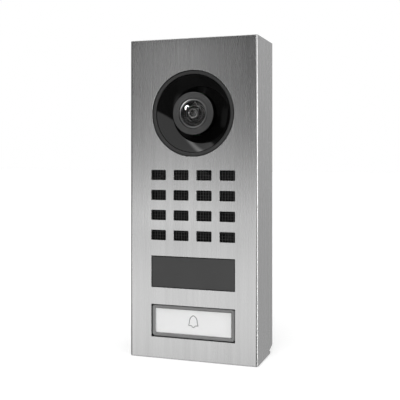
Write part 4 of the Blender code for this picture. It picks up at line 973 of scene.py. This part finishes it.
def studio(scene):
    """The light from all round, by direction. The camera itself sees a plain white backdrop."""
    scene.view_settings.view_transform = "Standard"
    world = bpy.data.worlds.new("studio")
    world.use_nodes = True
    scene.world = world
    tree = world.node_tree
    tree.nodes.clear()
    direction = node(tree, "ShaderNodeTexCoord").outputs["Generated"]
    split = node(tree, "ShaderNodeSeparateXYZ", {"Vector": direction})
    flat = node(tree, "ShaderNodeCombineXYZ", {"X": split.outputs["X"], "Y": split.outputs["Y"]})
    level = node(tree, "ShaderNodeVectorMath", {0: flat.outputs["Vector"]}, operation="NORMALIZE").outputs["Vector"]

    def patch(vector, axis, inner, outer):
        """1 within inner degrees of the axis, 0 past outer degrees."""
        near = node(tree, "ShaderNodeVectorMath", {0: vector, 1: axis}, operation="DOT_PRODUCT").outputs["Value"]
        return node(tree, "ShaderNodeMapRange", {
            "Value": near, "From Min": math.cos(math.radians(outer)), "From Max": math.cos(math.radians(inner)),
            "To Min": 0.0, "To Max": 1.0,
        }, interpolation_type="SMOOTHSTEP").outputs["Result"]

    def by_height(stops):
        """Brightness by elevation in degrees, through the stops."""
        half_up = node(tree, "ShaderNodeMath", {0: split.outputs["Z"], 1: 0.5, 2: 0.5}, operation="MULTIPLY_ADD")
        ramp = node(tree, "ShaderNodeValToRGB", {"Fac": half_up.outputs["Value"]})
        elements = ramp.color_ramp.elements
        places = [(math.sin(math.radians(up)) / 2 + 0.5, value / BRIGHTEST) for up, value in stops]
        elements[0].position, elements[1].position = places[0][0], places[-1][0]
        for element, (_, value) in ((elements[0], places[0]), (elements[1], places[-1])):
            element.color = (value, value, value, 1)
        for at, value in places[1:-1]:
            elements.new(at).color = (value, value, value, 1)
        return ramp.outputs["Color"]

    def combine(operation, first, second):
        """Two values put together by a math node."""
        return node(tree, "ShaderNodeMath", {0: first, 1: second}, operation=operation).outputs["Value"]

    above = combine("MAXIMUM", patch(direction, OVERHEAD_AXIS, *OVERHEAD_REACH),
                    patch(direction, (0, 0, 1), *ZENITH_REACH))
    streak = combine("MULTIPLY", patch(direction, STREAK_AXIS, *STREAK_REACH),
                     patch(direction, STREAK_BACK, *STREAK_BACK_REACH))
    above = combine("MULTIPLY", above, node(tree, "ShaderNodeMath", {0: streak, 1: STREAK, 2: 1.0},
                                            operation="MULTIPLY_ADD").outputs["Value"])
    in_front = node(tree, "ShaderNodeMapRange", {
        "Value": split.outputs["Y"], "From Min": BEHIND, "From Max": 0.0, "To Min": 0.0, "To Max": OVERHEAD / BRIGHTEST,
    }).outputs["Result"]
    total = combine("MULTIPLY", above, in_front)
    for axis, inner, outer, stops in ZONES:
        zone = combine("MULTIPLY", patch(level, axis, inner, outer), by_height(stops))
        total = combine("MAXIMUM", total, zone)
    total = combine("MULTIPLY", combine("MAXIMUM", total, DARKEST / BRIGHTEST), BRIGHTEST)
    light = node(tree, "ShaderNodeBackground", {"Color": (1, 1, 1, 1), "Strength": total})
    plain = node(tree, "ShaderNodeBackground", {"Color": (1, 1, 1, 1), "Strength": 1.0})
    path = node(tree, "ShaderNodeLightPath")
    mix = node(tree, "ShaderNodeMixShader", {
        0: path.outputs["Is Camera Ray"], 1: light.outputs["Background"], 2: plain.outputs["Background"],
    })
    node(tree, "ShaderNodeOutputWorld", {"Surface": mix.outputs["Shader"]})


def softbox(name, place_at, aim, width, height, power, roll=0.0, shiny=True, only=()):
    """An area light that points from one place at another, rolled by roll degrees about its beam. Without shiny it
    isn't seen in reflections, and with only it lights just those pieces."""
    lamp = bpy.data.lights.new(name, "AREA")
    lamp.shape = "RECTANGLE"
    lamp.size = width
    lamp.size_y = height
    lamp.energy = power
    made = bpy.data.objects.new(name, lamp)
    bpy.context.scene.collection.objects.link(made)
    made.location = place_at
    made.rotation_mode = "QUATERNION"
    beam = (Vector(aim) - Vector(place_at)).to_track_quat("-Z", "Y")
    made.rotation_quaternion = beam @ Quaternion((0, 0, 1), math.radians(roll))
    made.visible_glossy = shiny
    if only:
        lit = bpy.data.collections.new(name + "_lights")
        for piece_name in only:
            lit.objects.link(bpy.data.objects[piece_name])
        made.light_linking.receiver_collection = lit


def softboxes():
    """Lamps for single pieces: one draws the glint on the front lens, one the crescent on the retaining ring, one the
    lower side of that ring and the baffle, and one brightens the housing's left side. The fill light, by the camera,
    is seen by matt surfaces only."""
    softbox("glint_light", EYE + Vector(heading(-56, 24.5)), EYE, width=0.1, height=0.32, power=45.0, roll=-14,
            only=("front_glass",))
    softbox("ring_light", EYE + Vector(heading(-50, 26)), EYE, width=0.4, height=0.4, power=7.0,
            only=("retaining_ring",))
    softbox("edge_light", EYE + Vector(heading(-24, -36)), EYE, width=0.6, height=0.5, power=1.1,
            only=("retaining_ring", "baffle_ring"))
    aside, above = -0.08, 0.04
    softbox("face_light", (aside, FACE - 0.2, above), (aside, FACE, above), width=0.03, height=0.15, power=0.013,
            only=("steel_housing",))
    softbox("fill_light", (0.15, -1.2, 0.35), (0, 0, 0), width=1.0, height=1.0, power=4.0, shiny=False)


def camera(scene):
    """A short telephoto camera to the right of the panel, level, with the picture shifted down."""
    sizes = scene.intercom_stage
    data = bpy.data.cameras.new("camera")
    data.lens = sizes.lens
    data.sensor_width = 36.0
    data.shift_y = sizes.shift
    data.clip_start = 0.01
    data.clip_end = 50.0
    made = bpy.data.objects.new("camera", data)
    scene.collection.objects.link(made)
    made.location = (sizes.aside, FACE - sizes.away, sizes.above)
    made.rotation_euler = (math.pi / 2, 0.0, sizes.turn)
    scene.camera = made


class VIEW3D_PT_intercom(bpy.types.Panel):
    """Lists what the panel is made of"""
    bl_idname = "VIEW3D_PT_intercom"
    bl_label = "Door intercom"
    bl_space_type = "VIEW_3D"
    bl_region_type = "UI"
    bl_category = "Intercom"

    def draw(self, context):
        for operator in OPERATORS:
            self.layout.operator(operator.bl_idname)
        for group in GROUPS:
            settings = getattr(context.scene, group)
            box = self.layout.box()
            for name in settings.bl_rna.properties.keys():
                if name not in ("rna_type", "name"):
                    box.prop(settings, name)


GROUPS = {
    "intercom_finishes": IntercomFinishes,
    "intercom_housing": IntercomHousing,
    "intercom_camera": IntercomCamera,
    "intercom_button": IntercomButton,
    "intercom_stage": IntercomStage,
}
OPERATORS = (
    INTERCOM_OT_materials, INTERCOM_OT_housing, INTERCOM_OT_camera, INTERCOM_OT_mesh, INTERCOM_OT_window,
    INTERCOM_OT_button, INTERCOM_OT_springs, INTERCOM_OT_screw, INTERCOM_OT_stage,
)


def register():
    """Adds the properties, the operators and the panel to Blender."""
    for item in (*GROUPS.values(), *OPERATORS, VIEW3D_PT_intercom):
        bpy.utils.register_class(item)
    for name, group in GROUPS.items():
        setattr(bpy.types.Scene, name, bpy.props.PointerProperty(type=group))


def unregister():
    """Takes them out again."""
    for name in GROUPS:
        delattr(bpy.types.Scene, name)
    for item in (VIEW3D_PT_intercom, *reversed(OPERATORS), *reversed(GROUPS.values())):
        bpy.utils.unregister_class(item)


def main():
    """Makes everything in order."""
    register()
    for operator in OPERATORS:
        group, name = operator.bl_idname.split(".")
        getattr(getattr(bpy.ops, group), name)()


if __name__ == "__main__":
    main()
